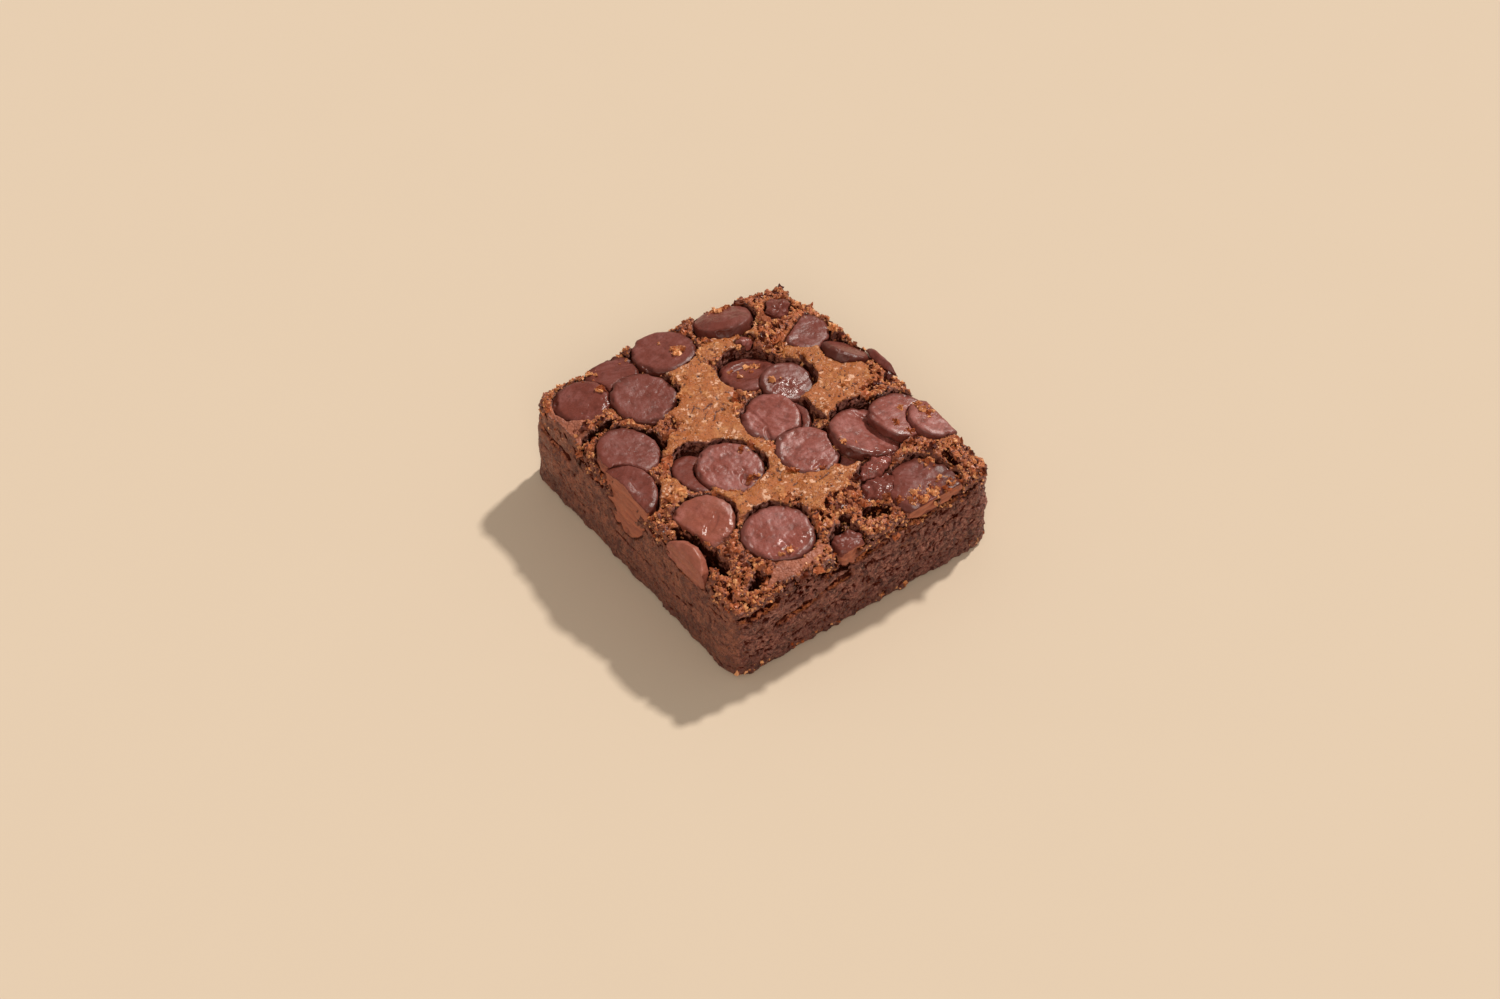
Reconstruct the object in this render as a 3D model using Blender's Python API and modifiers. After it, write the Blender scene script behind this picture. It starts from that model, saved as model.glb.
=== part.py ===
"""A square of chocolate brownie, knife-cut on four sides, with chocolate discs baked into its top.

The cake is one solid slab. Every disc and every broken chunk of chocolate is a solid of its own,
which sits in a pocket of the slab that is a hair wider than the chocolate. Discs at the rim are cut
flush with the slab's sides, as the knife cut them.

Frame: X and Y run along the sides, Z is up, the origin is under the middle of the slab.
"""
import math

import bmesh
import bpy
from mathutils import Matrix, Vector, noise

# ---------------------------------------------------------------- driving dimensions, in metres
MM = 0.001
SLAB_X = 74.4 * MM            # across the slab, at its base
SLAB_Y = 82.4 * MM            # along the slab
CRUST_Z = 25.6 * MM           # from the base to the crust between the discs
GAP = 0.3 * MM                # air between two pieces, so that their meshes never touch

# The slab's corners, by the signs of (x, y): how far each is rounded
CORNER_RADIUS = {(-1, -1): 4.6 * MM, (1, -1): 5.4 * MM, (1, 1): 16.0 * MM, (-1, 1): 6.0 * MM}
BACK_PINCH = 1.4 * MM         # the corner at +X +Y is pulled in by this much
LEAN = 0.9 * MM               # the sides lean in towards the top
BELLY = 0.6 * MM              # the sides swell out between base and crust
RIM_WIDTH = 5.0 * MM          # the top rounds over within this distance of its edge
RIM_DROP = 1.7 * MM
SIDE_WAVE = 0.5 * MM          # slow unevenness of the sides
TOP_WAVE = 0.5 * MM           # slow unevenness of the top

# Swells and hollows of the top, in millimetres: x, y, radius and height
TOP_SWELLS = (
    (-7.5, 17.5, 12.0, 0.9),
    (22.5, 3.5, 11.0, 0.8),
    (2.5, -26.0, 9.0, 0.2),
    (18.5, 30.0, 9.0, 0.6),
    (-37.0, -39.0, 11.0, -3.6),
    (0.0, -39.5, 8.0, -1.4),
    (-19.5, 12.5, 3.6, -2.2),
    (37.0, -37.0, 8.0, -0.6),
    (33.0, 36.0, 9.0, -1.0),
)

# Grid lines of the slab's faces and how much they crowd towards the edges
GRID_X = 13
GRID_Y = 15
GRID_Z = 4
EDGE_CROWDING = 0.22

# Chocolate: flats round a disc, and the angles of its half section from pole to pole, in degrees
DISC_FLATS = 16
SECTION_ANGLES = (90.0, 58.0, 24.0, -14.0, -52.0, -90.0)
WOBBLE = 0.03                 # a disc's outline strays from round by this share of its radius
POCKET_RISE = 12.0 * MM       # a pocket stays open for this far above its disc

# The discs, in millimetres and degrees: name, x, y and z of the middle, diameter, thickness,
# tilt and its heading (the way that the upper face leans), and the fullness of the upper and
# the lower face (2 is a dome, large is flat)
DISCS = (
    ("disc_back_domed", 14.7, 34.6, 23.9, 15.5, 5.0, 24.0, 80.0, 2.4, 5.0),
    ("disc_back_middle", -3.4, 33.6, 23.9, 15.8, 4.2, 5.0, 60.0, 8.0, 3.0),
    ("disc_back_hidden", -17.0, 35.6, 22.9, 13.6, 4.0, 9.0, 100.0, 8.0, 3.0),
    ("disc_left_corner", -27.6, 32.4, 23.0, 14.0, 4.2, 7.0, 170.0, 5.0, 3.0),
    ("disc_left_streaked", -16.0, 24.0, 24.0, 16.2, 4.0, 4.0, -70.0, 8.0, 3.0),
    ("disc_side_upper", -28.8, 12.2, 23.6, 15.6, 4.2, 7.0, -20.0, 8.0, 3.0),
    ("disc_side_lower", -37.2, 1.9, 23.3, 17.2, 4.6, 5.0, 190.0, 8.0, 3.0),
    ("disc_front_glossy", -27.6, -15.6, 23.2, 15.6, 4.4, 13.0, 205.0, 5.0, 3.0),
    ("disc_side_wedge", -39.0, -20.8, 18.4, 17.4, 3.4, 50.0, 182.0, 5.0, 4.0),
    ("disc_front", -16.2, -28.4, 23.3, 17.0, 4.6, 3.0, -110.0, 8.0, 3.0),
    ("disc_centre_broken", -13.0, -5.8, 23.6, 16.0, 4.2, 7.0, -100.0, 8.0, 3.0),
    ("disc_under_centre", -18.8, -2.2, 22.5, 14.2, 3.4, 13.0, 12.0, 6.0, 3.0),
    ("disc_middle", 4.1, 1.3, 23.8, 14.8, 4.2, 6.0, 200.0, 8.0, 3.0),
    ("disc_under_middle", 6.6, -0.8, 22.5, 13.2, 3.0, 12.0, 185.0, 6.0, 3.0),
    ("disc_in_hollow", 8.8, 16.4, 23.2, 15.0, 4.0, 14.0, 60.0, 5.0, 3.0),
    ("disc_nested", 14.0, 8.6, 24.0, 13.0, 3.6, 10.0, -60.0, 8.0, 3.0),
    ("disc_right_middle", 4.4, -12.0, 23.8, 15.4, 4.2, 4.0, -90.0, 8.0, 3.0),
    ("disc_under", 11.8, -15.6, 22.7, 13.2, 3.2, 14.0, 180.0, 5.0, 3.0),
    ("disc_big_tilted", 18.6, -15.0, 23.3, 18.0, 4.2, 17.0, 5.0, 8.0, 3.0),
    ("disc_far_right", 28.4, -15.8, 23.9, 15.8, 4.0, 13.0, 0.0, 8.0, 3.0),
    ("disc_right_covered", 34.6, -20.8, 23.5, 13.6, 3.6, 17.0, -8.0, 6.0, 3.0),
    ("disc_dome_dark", 31.6, 8.6, 22.9, 12.8, 5.2, 36.0, 25.0, 6.0, 2.0),
    ("disc_right_edge", 41.0, 0.6, 20.6, 17.0, 3.2, 45.0, 5.0, 4.0, 4.0),
    ("disc_back_flat", 27.2, 20.4, 23.9, 13.8, 3.8, 8.0, -30.0, 8.0, 3.0),
    ("disc_right_melted", 19.6, -36.6, 23.0, 18.6, 3.6, 3.0, -80.0, 5.0, 3.0),
)

# Broken chunks: name, x, y, z, length, width, thickness, tilt, heading and turn, in mm and degrees
CHUNKS = (
    ("chunk_back", 27.6, 30.0, 24.0, 7.5, 6.0, 5.0, 22.0, 40.0, 30.0),
    ("chunk_small", 13.6, 24.8, 25.2, 4.8, 3.6, 3.2, 15.0, 60.0, 10.0),
    ("chunk_curl", 14.8, -24.6, 24.7, 12.0, 5.2, 3.0, 10.0, 90.0, 15.0),
    ("chunk_flow", 11.2, -30.2, 23.4, 10.8, 7.8, 3.0, 5.0, -90.0, 20.0),
    ("chunk_front_edge", -4.4, -38.6, 21.6, 9.0, 7.0, 4.2, 18.0, -90.0, 5.0),
)

# Chocolate that the knife dragged down the side: a second shape that is joined to its disc
SMEARS = {
    "disc_side_lower": (-36.2, 2.6, 19.6, 15.4, 3.6, 84.0, 180.0),
}

# Broken discs: the way that the missing part lies, and how far the break is from the middle
BREAKS = {
    "disc_front_glossy": (192.0, 3.6),
    "disc_back_flat": (120.0, 1.8),
}

# Which pieces lie under which: the lower one is cut back to make room for the upper one
LIES_UNDER = (
    ("disc_back_hidden", "disc_back_middle"),
    ("disc_back_hidden", "disc_left_streaked"),
    ("disc_back_hidden", "disc_left_corner"),
    ("disc_left_corner", "disc_left_streaked"),
    ("disc_side_upper", "disc_side_lower"),
    ("disc_under_centre", "disc_centre_broken"),
    ("disc_in_hollow", "disc_nested"),
    ("disc_middle", "disc_nested"),
    ("disc_middle", "disc_right_middle"),
    ("disc_right_middle", "disc_big_tilted"),
    ("disc_back_flat", "disc_dome_dark"),
    ("chunk_curl", "disc_big_tilted"),
    ("disc_under_middle", "disc_middle"),
    ("disc_under_middle", "disc_nested"),
    ("disc_under_middle", "disc_right_middle"),
    ("disc_under", "disc_right_middle"),
    ("disc_under", "disc_big_tilted"),
    ("disc_far_right", "disc_big_tilted"),
    ("disc_far_right", "disc_right_covered"),
    ("disc_right_edge", "disc_dome_dark"),
    ("disc_right_melted", "chunk_flow"),
    ("chunk_flow", "chunk_curl"),
    ("disc_side_wedge", "disc_front_glossy"),
)

# The knife went through these
CUT_FLUSH = (
    "disc_back_domed", "disc_back_middle", "disc_back_hidden", "disc_left_corner", "disc_side_upper",
    "disc_side_lower", "disc_side_wedge", "disc_front", "disc_right_covered", "disc_right_edge",
    "disc_right_melted", "chunk_front_edge", "disc_dome_dark", "disc_far_right",
)

# Colour, roughness
CRUMB_LOOK = ((0.115, 0.050, 0.026, 1.0), 0.85)
CHOCOLATE_LOOK = ((0.105, 0.044, 0.034, 1.0), 0.42)


# ---------------------------------------------------------------- small tools
def clear_scene():
    for obj in list(bpy.data.objects):
        bpy.data.objects.remove(obj, do_unlink=True)


def make_collection(name):
    collection = bpy.data.collections.new(name)
    bpy.context.scene.collection.children.link(collection)
    return collection


def make_material(name, look):
    colour, roughness = look
    material = bpy.data.materials.new(name)
    material.use_nodes = True
    shader = material.node_tree.nodes["Principled BSDF"]
    shader.inputs["Base Color"].default_value = colour
    shader.inputs["Roughness"].default_value = roughness
    shader.inputs["Metallic"].default_value = 0.0
    return material


def add_object(name, mesh, collection):
    obj = bpy.data.objects.new(name, mesh)
    collection.objects.link(obj)
    return obj


def mark_as_cutter(obj):
    obj.hide_render = True
    obj.display_type = "WIRE"


def mesh_from(bm, name):
    mesh = bpy.data.meshes.new(name)
    bm.to_mesh(mesh)
    bm.free()
    return mesh


def evaluated_mesh(obj):
    """The object's mesh with its modifiers applied."""
    graph = bpy.context.evaluated_depsgraph_get()
    return bpy.data.meshes.new_from_object(obj.evaluated_get(graph))


def boolean(obj, name, operation, other):
    modifier = obj.modifiers.new(name, "BOOLEAN")
    modifier.operation = operation
    modifier.object = other
    modifier.solver = "EXACT"


def smoothstep(edge_0, edge_1, value):
    t = min(max((value - edge_0) / (edge_1 - edge_0), 0.0), 1.0)
    return t * t * (3.0 - 2.0 * t)


def slow_noise(x, y, z, wavelength):
    return noise.noise(Vector((x, y, z)) / wavelength)


# ---------------------------------------------------------------- slab
def top_height(x, y):
    """Height of the crust over a point, before the rim rounds it off."""
    height = CRUST_Z + TOP_WAVE * slow_noise(x, y, 0.0, 9.0 * MM)
    for swell_x, swell_y, radius, rise in TOP_SWELLS:
        distance = math.hypot(x - swell_x * MM, y - swell_y * MM)
        height += rise * MM * math.exp(-(distance / (radius * MM)) ** 2)
    return height


def slab_outline(x, y, level):
    """Move a point of a plain rectangle's side out to the slab's uneven side.

    level runs from 0 at the base to 1 at the crust.
    """
    corner = (1 if x > 0 else -1, 1 if y > 0 else -1)
    radius = CORNER_RADIUS[corner]
    half_x, half_y = SLAB_X / 2, SLAB_Y / 2
    core = Vector((min(max(x, radius - half_x), half_x - radius),
                   min(max(y, radius - half_y), half_y - radius)))
    outward = (Vector((x, y)) - core).normalized()
    point = core + outward * radius

    height = level * CRUST_Z
    belly = BELLY * math.sin(math.pi * level)
    wave = SIDE_WAVE * slow_noise(point.x, point.y, height, 11.0 * MM)
    pinch = BACK_PINCH * smoothstep(0.1, 1.0, x / half_x) * smoothstep(0.1, 1.0, y / half_y)
    return point + outward * (belly - LEAN * level + wave - pinch)


def rounded_height(x, y, inset):
    """Height of the top at a point this far in from its edge."""
    rim = (1.0 - min(inset / RIM_WIDTH, 1.0)) ** 2
    return top_height(x, y) - RIM_DROP * rim


def slab_point(u, v, w):
    """Place a point of the cube from -1 to 1 on the slab."""
    level = (w + 1.0) / 2.0
    spread = max(abs(u), abs(v))
    if spread == 0.0:
        return Vector((0.0, 0.0, level * top_height(0.0, 0.0)))
    edge = slab_outline(u / spread * SLAB_X / 2, v / spread * SLAB_Y / 2, level)
    x, y = edge * spread
    return Vector((x, y, level * rounded_height(x, y, (1.0 - spread) * edge.length)))


def grid_lines(count):
    """Positions between -1 and 1, crowded towards both ends."""
    even = [2.0 * i / count - 1.0 for i in range(1, count)]
    return [t + EDGE_CROWDING * math.sin(math.pi * t) / math.pi for t in even]


def gridded_cube():
    """A cube from -1 to 1 whose sides carry the grid, and whose base is one face."""
    bm = bmesh.new()
    bmesh.ops.create_cube(bm, size=2.0)
    for direction, count in (((1, 0, 0), GRID_X), ((0, 1, 0), GRID_Y), ((0, 0, 1), GRID_Z)):
        axis = Vector(direction)
        for position in grid_lines(count):
            everything = bm.verts[:] + bm.edges[:] + bm.faces[:]
            bmesh.ops.bisect_plane(bm, geom=everything, plane_co=axis * position, plane_no=axis)
    base = [face for face in bm.faces if face.calc_center_median().z < -0.999]
    bmesh.ops.dissolve_faces(bm, faces=base, use_verts=True)
    return bm


def make_knife_block(collection):
    """The space between the four knife cuts, taller than the slab."""
    bm = gridded_cube()
    top = [face for face in bm.faces if face.calc_center_median().z > 0.999]
    bmesh.ops.dissolve_faces(bm, faces=top, use_verts=True)
    for vertex in bm.verts:
        u, v, w = vertex.co
        side = slab_point(u, v, w)
        vertex.co = Vector((side.x, side.y, CRUST_Z + POCKET_RISE)) if w > 0.999 else side
    block = add_object("knife_block", mesh_from(bm, "knife_block"), collection)
    mark_as_cutter(block)
    return block


def make_slab(collection, look, pockets):
    bm = gridded_cube()
    for vertex in bm.verts:
        vertex.co = slab_point(*vertex.co)
    bmesh.ops.triangulate(bm, faces=[face for face in bm.faces if len(face.verts) == 4])
    mesh = mesh_from(bm, "slab")
    mesh.materials.append(look)
    slab = add_object("slab", mesh, collection)
    cut = slab.modifiers.new("pockets", "BOOLEAN")
    cut.operation = "DIFFERENCE"
    cut.operand_type = "COLLECTION"
    cut.collection = pockets
    cut.solver = "EXACT"
    cut.use_self = True
    return slab


# ---------------------------------------------------------------- chocolate
def half_section(radius, thickness, top_fullness, base_fullness):
    """Points (r, z) from the upper pole round the rim to the lower pole."""
    points = [(0.0, thickness / 2)]
    for angle in SECTION_ANGLES[1:-1]:
        power = 2.0 / (top_fullness if angle > 0 else base_fullness)
        r = radius * math.cos(math.radians(angle)) ** power
        z = thickness / 2 * abs(math.sin(math.radians(angle))) ** power
        points.append((r, math.copysign(z, angle)))
    points.append((0.0, -thickness / 2))
    return points


def turned_mesh(name, points):
    """Spin a half section about Z."""
    mesh = bpy.data.meshes.new(name)
    edges = [(i, i + 1) for i in range(len(points) - 1)]
    mesh.from_pydata([(r, 0.0, z) for r, z in points], edges, [])
    helper = bpy.data.objects.new(name, mesh)
    bpy.context.scene.collection.objects.link(helper)
    screw = helper.modifiers.new("turn", "SCREW")
    screw.steps = DISC_FLATS
    screw.render_steps = DISC_FLATS
    screw.use_merge_vertices = True
    screw.merge_threshold = 0.01 * MM
    result = evaluated_mesh(helper)
    bpy.data.objects.remove(helper, do_unlink=True)
    return result


def make_uneven(mesh, seed, stretch):
    """Let the outline stray a little from round, and stretch it along Y."""
    for vertex in mesh.vertices:
        x, y, z = vertex.co
        angle = math.atan2(y, x)
        factor = 1.0 + WOBBLE * (math.sin(2.0 * angle + seed) + 0.6 * math.sin(3.0 * angle + 2.0 * seed))
        vertex.co = (x * factor, y * factor * stretch, z)


def placing(x, y, z, tilt, heading, turn=0.0):
    """The matrix that turns a piece on its axis, leans it over and puts it in its place."""
    lean_axis = Vector((-math.sin(math.radians(heading)), math.cos(math.radians(heading)), 0.0))
    lean = Matrix.Rotation(math.radians(tilt), 4, lean_axis)
    spin = Matrix.Rotation(math.radians(turn), 4, "Z")
    return Matrix.Translation(Vector((x, y, z)) * MM) @ lean @ spin


def chocolate_shapes():
    """Every piece of chocolate: name, radius, thickness, two fullnesses, stretch and placing."""
    shapes = []
    for name, x, y, z, across, thick, tilt, heading, top, base in DISCS:
        place = placing(x, y, z, tilt, heading)
        shapes.append((name, across / 2 * MM, thick * MM, top, base, 1.0, place))
    for name, x, y, z, length, width, thick, tilt, heading, turn in CHUNKS:
        place = placing(x, y, z, tilt, heading, turn)
        shapes.append((name, length / 2 * MM, thick * MM, 2.6, 2.6, width / length, place))
    return shapes


def smear_shape(name):
    x, y, z, across, thick, tilt, heading = SMEARS[name]
    return (name + "_smear", across / 2 * MM, thick * MM, 4.0, 4.0, 1.0, placing(x, y, z, tilt, heading))


def piece_mesh(shape, seed, grow):
    """The mesh of one piece in its place, grown on all sides."""
    name, radius, thickness, top, base, stretch, place = shape
    mesh = turned_mesh(name, half_section(radius + grow, thickness + 2.0 * grow, top, base))
    make_uneven(mesh, seed, stretch)
    mesh.transform(place)
    return mesh


def swept_up(mesh, name):
    """The convex hull of a piece and the same piece raised: a pocket that is open above."""
    bm = bmesh.new()
    bm.from_mesh(mesh)
    bmesh.ops.delete(bm, geom=bm.faces[:], context="FACES_ONLY")
    for vertex in bm.verts[:]:
        bm.verts.new(vertex.co + Vector((0.0, 0.0, POCKET_RISE)))
    bmesh.ops.convex_hull(bm, input=bm.verts[:])
    loose_edges = [edge for edge in bm.edges if not edge.link_faces]
    bmesh.ops.delete(bm, geom=loose_edges, context="EDGES")
    loose_verts = [vertex for vertex in bm.verts if not vertex.link_faces]
    bmesh.ops.delete(bm, geom=loose_verts, context="VERTS")
    bmesh.ops.recalc_face_normals(bm, faces=bm.faces[:])
    return mesh_from(bm, name)


def break_off(obj, shape, clearance, collection):
    """Cut a disc's missing part away with a box beyond the break."""
    heading, offset = BREAKS[shape[0]]
    radius, place = shape[1], shape[6]
    side = 4.0 * radius
    bm = bmesh.new()
    bmesh.ops.create_cube(bm, size=side)
    shift = Matrix.Translation(Vector((offset * MM + clearance + side / 2, 0.0, 0.0)))
    turn = Matrix.Rotation(math.radians(heading), 4, "Z")
    middle = Matrix.Translation(place.translation)
    bmesh.ops.transform(bm, matrix=middle @ turn @ shift, verts=bm.verts[:])
    block = add_object(obj.name + "_break", mesh_from(bm, obj.name + "_break"), collection)
    mark_as_cutter(block)
    boolean(obj, "break", "DIFFERENCE", block)


def make_chocolate(parts, cutters, pockets):
    """Every disc and chunk, what cuts it, and the pocket that it needs in the slab."""
    knife_block = make_knife_block(cutters)
    pieces = {}
    rooms = {}
    for seed, shape in enumerate(chocolate_shapes()):
        name = shape[0]
        pieces[name] = add_object(name, piece_mesh(shape, seed, 0.0), parts)
        pieces[name].data.materials.append(make_material(name, CHOCOLATE_LOOK))
        rooms[name] = add_object(name + "_room", piece_mesh(shape, seed, GAP), cutters)
        mark_as_cutter(rooms[name])
        if name in BREAKS:
            break_off(pieces[name], shape, 0.0, cutters)
            break_off(rooms[name], shape, GAP, cutters)
        pocket_mesh = swept_up(evaluated_mesh(rooms[name]), name + "_pocket")
        mark_as_cutter(add_object(name + "_pocket", pocket_mesh, pockets))
        if name in SMEARS:
            smear = add_object(name + "_smear", piece_mesh(smear_shape(name), seed, 0.0), cutters)
            mark_as_cutter(smear)
            boolean(pieces[name], "smear", "UNION", smear)
            room = add_object(name + "_smear_room", piece_mesh(smear_shape(name), seed, GAP), pockets)
            mark_as_cutter(room)
    for lower, upper in LIES_UNDER:
        boolean(pieces[lower], "room for " + upper, "DIFFERENCE", rooms[upper])
    for name in CUT_FLUSH:
        boolean(pieces[name], "knife", "INTERSECT", knife_block)


def centre_over_origin(parts):
    """Shift everything sideways, so that the middle of the whole stands over the origin."""
    corners = []
    for obj in parts.objects:
        corners += [vertex.co.xy.copy() for vertex in evaluated_mesh(obj).vertices]
    low = Vector((min(corner.x for corner in corners), min(corner.y for corner in corners), 0.0))
    high = Vector((max(corner.x for corner in corners), max(corner.y for corner in corners), 0.0))
    for obj in bpy.data.objects:
        obj.location -= (low + high) / 2.0


def main():
    clear_scene()
    parts = make_collection("chocolate_brownie")
    cutters = make_collection("cutters")
    pockets = make_collection("pockets")
    make_chocolate(parts, cutters, pockets)
    make_slab(parts, make_material("crumb", CRUMB_LOOK), pockets)
    centre_over_origin(parts)


main()
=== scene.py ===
"""The finish of a chocolate brownie: crackled crust, fudgy crumb, softened chocolate discs and loose crumbs.

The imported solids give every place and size. The slab is rebuilt as a finely torn surface in three
closed layers, each disc and chunk as a softened piece of chocolate, and the crumbs are scattered.
"""

import itertools
import math

import bmesh
import bpy
import numpy as np
from bpy.props import FloatProperty, FloatVectorProperty, IntProperty, PointerProperty
from mathutils import Matrix, Vector
from mathutils.bvhtree import BVHTree


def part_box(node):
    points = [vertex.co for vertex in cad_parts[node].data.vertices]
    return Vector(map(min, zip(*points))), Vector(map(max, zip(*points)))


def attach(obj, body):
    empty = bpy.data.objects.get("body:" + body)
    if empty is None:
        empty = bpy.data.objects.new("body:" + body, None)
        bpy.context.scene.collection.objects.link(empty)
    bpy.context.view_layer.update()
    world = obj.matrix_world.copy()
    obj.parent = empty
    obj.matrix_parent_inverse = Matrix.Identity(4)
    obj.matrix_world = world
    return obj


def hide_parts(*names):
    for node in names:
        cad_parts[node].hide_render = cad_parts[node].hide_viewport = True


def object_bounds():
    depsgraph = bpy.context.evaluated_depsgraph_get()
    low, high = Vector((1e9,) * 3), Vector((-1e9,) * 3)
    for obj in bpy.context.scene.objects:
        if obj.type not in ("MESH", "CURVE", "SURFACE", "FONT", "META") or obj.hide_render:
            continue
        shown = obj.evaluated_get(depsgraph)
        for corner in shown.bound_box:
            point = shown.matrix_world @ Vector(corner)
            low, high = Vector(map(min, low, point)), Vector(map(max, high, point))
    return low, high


bl_info = {
    "name": "Chocolate brownie",
    "version": (1, 0, 0),
    "blender": (4, 5, 0),
    "location": "3D View > Sidebar > Brownie",
    "description": "Builds a chocolate brownie with a crackled crust and baked-in chocolate discs",
    "category": "Add Mesh",
}

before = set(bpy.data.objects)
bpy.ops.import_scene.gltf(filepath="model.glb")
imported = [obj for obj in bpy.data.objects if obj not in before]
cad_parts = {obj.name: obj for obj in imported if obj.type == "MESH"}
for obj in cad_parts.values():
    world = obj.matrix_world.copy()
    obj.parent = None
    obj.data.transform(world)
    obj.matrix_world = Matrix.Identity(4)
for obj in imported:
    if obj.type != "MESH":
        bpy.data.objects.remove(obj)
CAD_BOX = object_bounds()
MM = 0.001
SLAB_LOW, SLAB_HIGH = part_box("slab")
CHOCOLATE_NODES = sorted(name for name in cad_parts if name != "slab")

BLOCK_MARGIN = 1.0 * MM         # the block that the slab is drawn on stands off by this much
BLOCK_ROUNDING = 4.0 * MM
BLOCK_CUTS = 62
BLOCK_REACH = 12.0 * MM
POCKET_STEP = 0.35 * MM         # the surface can't drop by more than this between two points
CORNER_ROUNDING = 6.0 * MM
MAP_STEP = 0.3 * MM
MAP_REACH = 2.1 * MM

# Where the crust broke or sank, in mm and degrees: x, y, half length, half width, turn, depth
HOLLOWS = (
    (-21.4, 12.5, 4.8, 2.0, 92.0, 6.0),
    (-30.0, 21.8, 6.5, 0.9, 6.0, 3.0),
    (-36.5, 20.0, 2.2, 0.8, 60.0, 2.4),
    (-32.2, -22.0, 8.8, 1.7, 97.0, 9.0),
    (-27.5, -36.2, 3.0, 1.4, 0.0, 3.0),
    (-2.0, -34.2, 2.6, 1.5, 25.0, 2.6),
    (6.5, -35.6, 3.4, 1.5, -20.0, 2.6),
    (-7.0, -41.0, 2.6, 1.2, 0.0, 2.2),
    (29.2, 9.0, 4.5, 1.0, 85.0, 2.6),
    (12.6, -4.5, 4.0, 0.9, 105.0, 2.6),
    (30.0, -33.5, 1.0, 3.0, 10.0, 2.2),
    (20.6, 9.5, 3.0, 0.8, 80.0, 2.2),
    (-17.0, 16.6, 3.0, 0.8, 20.0, 1.4),
    (-14.0, 37.5, 1.6, 0.9, 0.0, 1.6),
    (7.0, 34.0, 2.0, 0.8, 80.0, 2.0),
    (20.5, 27.5, 2.6, 1.0, 100.0, 2.4),
    (27.0, -7.6, 4.0, 0.7, -10.0, 1.6),
)

# Slots along the sides, in mm: side, start and end along it, level, fall to the end, half height, depth
SLOTS = (
    ("front", 8.0, 30.5, 20.9, -0.6, 0.6, 1.8),
    ("front", -36.0, -24.0, 17.8, 1.5, 1.0, 1.7),
    ("front", -26.0, -4.0, 12.5, 3.5, 1.0, 1.4),
    ("front", -13.0, 6.0, 18.5, 0.5, 1.0, 1.8),
    ("front", 16.0, 27.0, 12.0, 3.0, 0.5, 0.8),
    ("left", -24.0, 6.0, 8.6, 1.0, 0.4, 0.8),
    ("left", -37.0, -27.0, 16.2, -1.0, 0.5, 0.8),
    ("left", 24.0, 38.0, 16.5, 2.5, 0.9, 1.0),
    ("left", 27.0, 37.0, 12.0, 1.5, 0.5, 0.7),
)

# Where the golden crust survives, in mm: x, y, half width along x, half width along y
CRUST_PATCHES = (
    (-6.0, 17.9, 9.5, 10.5),
    (-12.0, 6.6, 10.0, 4.6),
    (-4.4, 1.5, 4.5, 5.5),
    (6.5, 26.8, 13.5, 3.4),
    (14.0, 28.3, 5.0, 3.0),
    (23.1, 10.4, 6.0, 8.0),
    (17.3, -2.1, 7.5, 7.0),
    (26.5, 0.5, 5.5, 4.5),
    (31.2, 14.8, 4.2, 2.2),
    (-5.0, -9.5, 3.6, 7.5),
    (-14.4, -18.0, 7.0, 2.8),
    (-7.7, -17.1, 6.0, 5.5),
    (2.6, -22.6, 9.5, 3.8),
    (-18.4, -12.5, 4.0, 3.2),
    (-27.8, -4.2, 3.6, 3.4),
    (-4.0, -24.5, 2.6, 4.0),
)

# Where the top is smooth, dense fudge, in mm: x, y, half width along x, half width along y
FUDGE_PATCHES = (
    (-18.5, -37.6, 8.0, 1.9),
    (-34.6, 28.5, 3.4, 7.5),
    (-12.6, -16.6, 2.4, 2.4),
    (-4.5, -38.5, 4.0, 1.6),
)

# Chocolate painted darker than the rest: painted shade where these pieces catch less sheen than the others
SHADED_PIECES = (
    "disc_left_streaked", "disc_side_upper", "disc_side_lower", "disc_left_corner", "disc_back_hidden",
    "disc_back_middle", "disc_back_domed", "disc_back_flat", "disc_dome_dark", "disc_right_edge",
    "disc_in_hollow", "disc_under_centre", "disc_under_middle", "chunk_back", "chunk_front_edge",
    "disc_right_melted", "chunk_flow", "disc_nested",
)
# How much crumb is smeared over a piece: where it is cut flush with a side, and everywhere else
SMEARED_PIECES = {
    "disc_side_wedge": (0.6, 0.6),
    "disc_side_upper": (0.7, 0.0),
    "disc_front_glossy": (0.8, 0.35),
}

# Where the chocolate ran and set in ripples, in mm: x, y, half width along x, half width along y
RIPPLES = (
    (-26.8, -18.2, 4.5, 4.0),
    (13.0, 6.6, 4.0, 2.4),
    (-26.5, 28.4, 4.5, 1.8),
    (-16.0, -32.5, 6.0, 2.2),
    (-8.0, 1.0, 4.5, 1.6),
    (14.5, -24.4, 6.0, 3.0),
    (11.0, -30.0, 6.0, 3.0),
)

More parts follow.
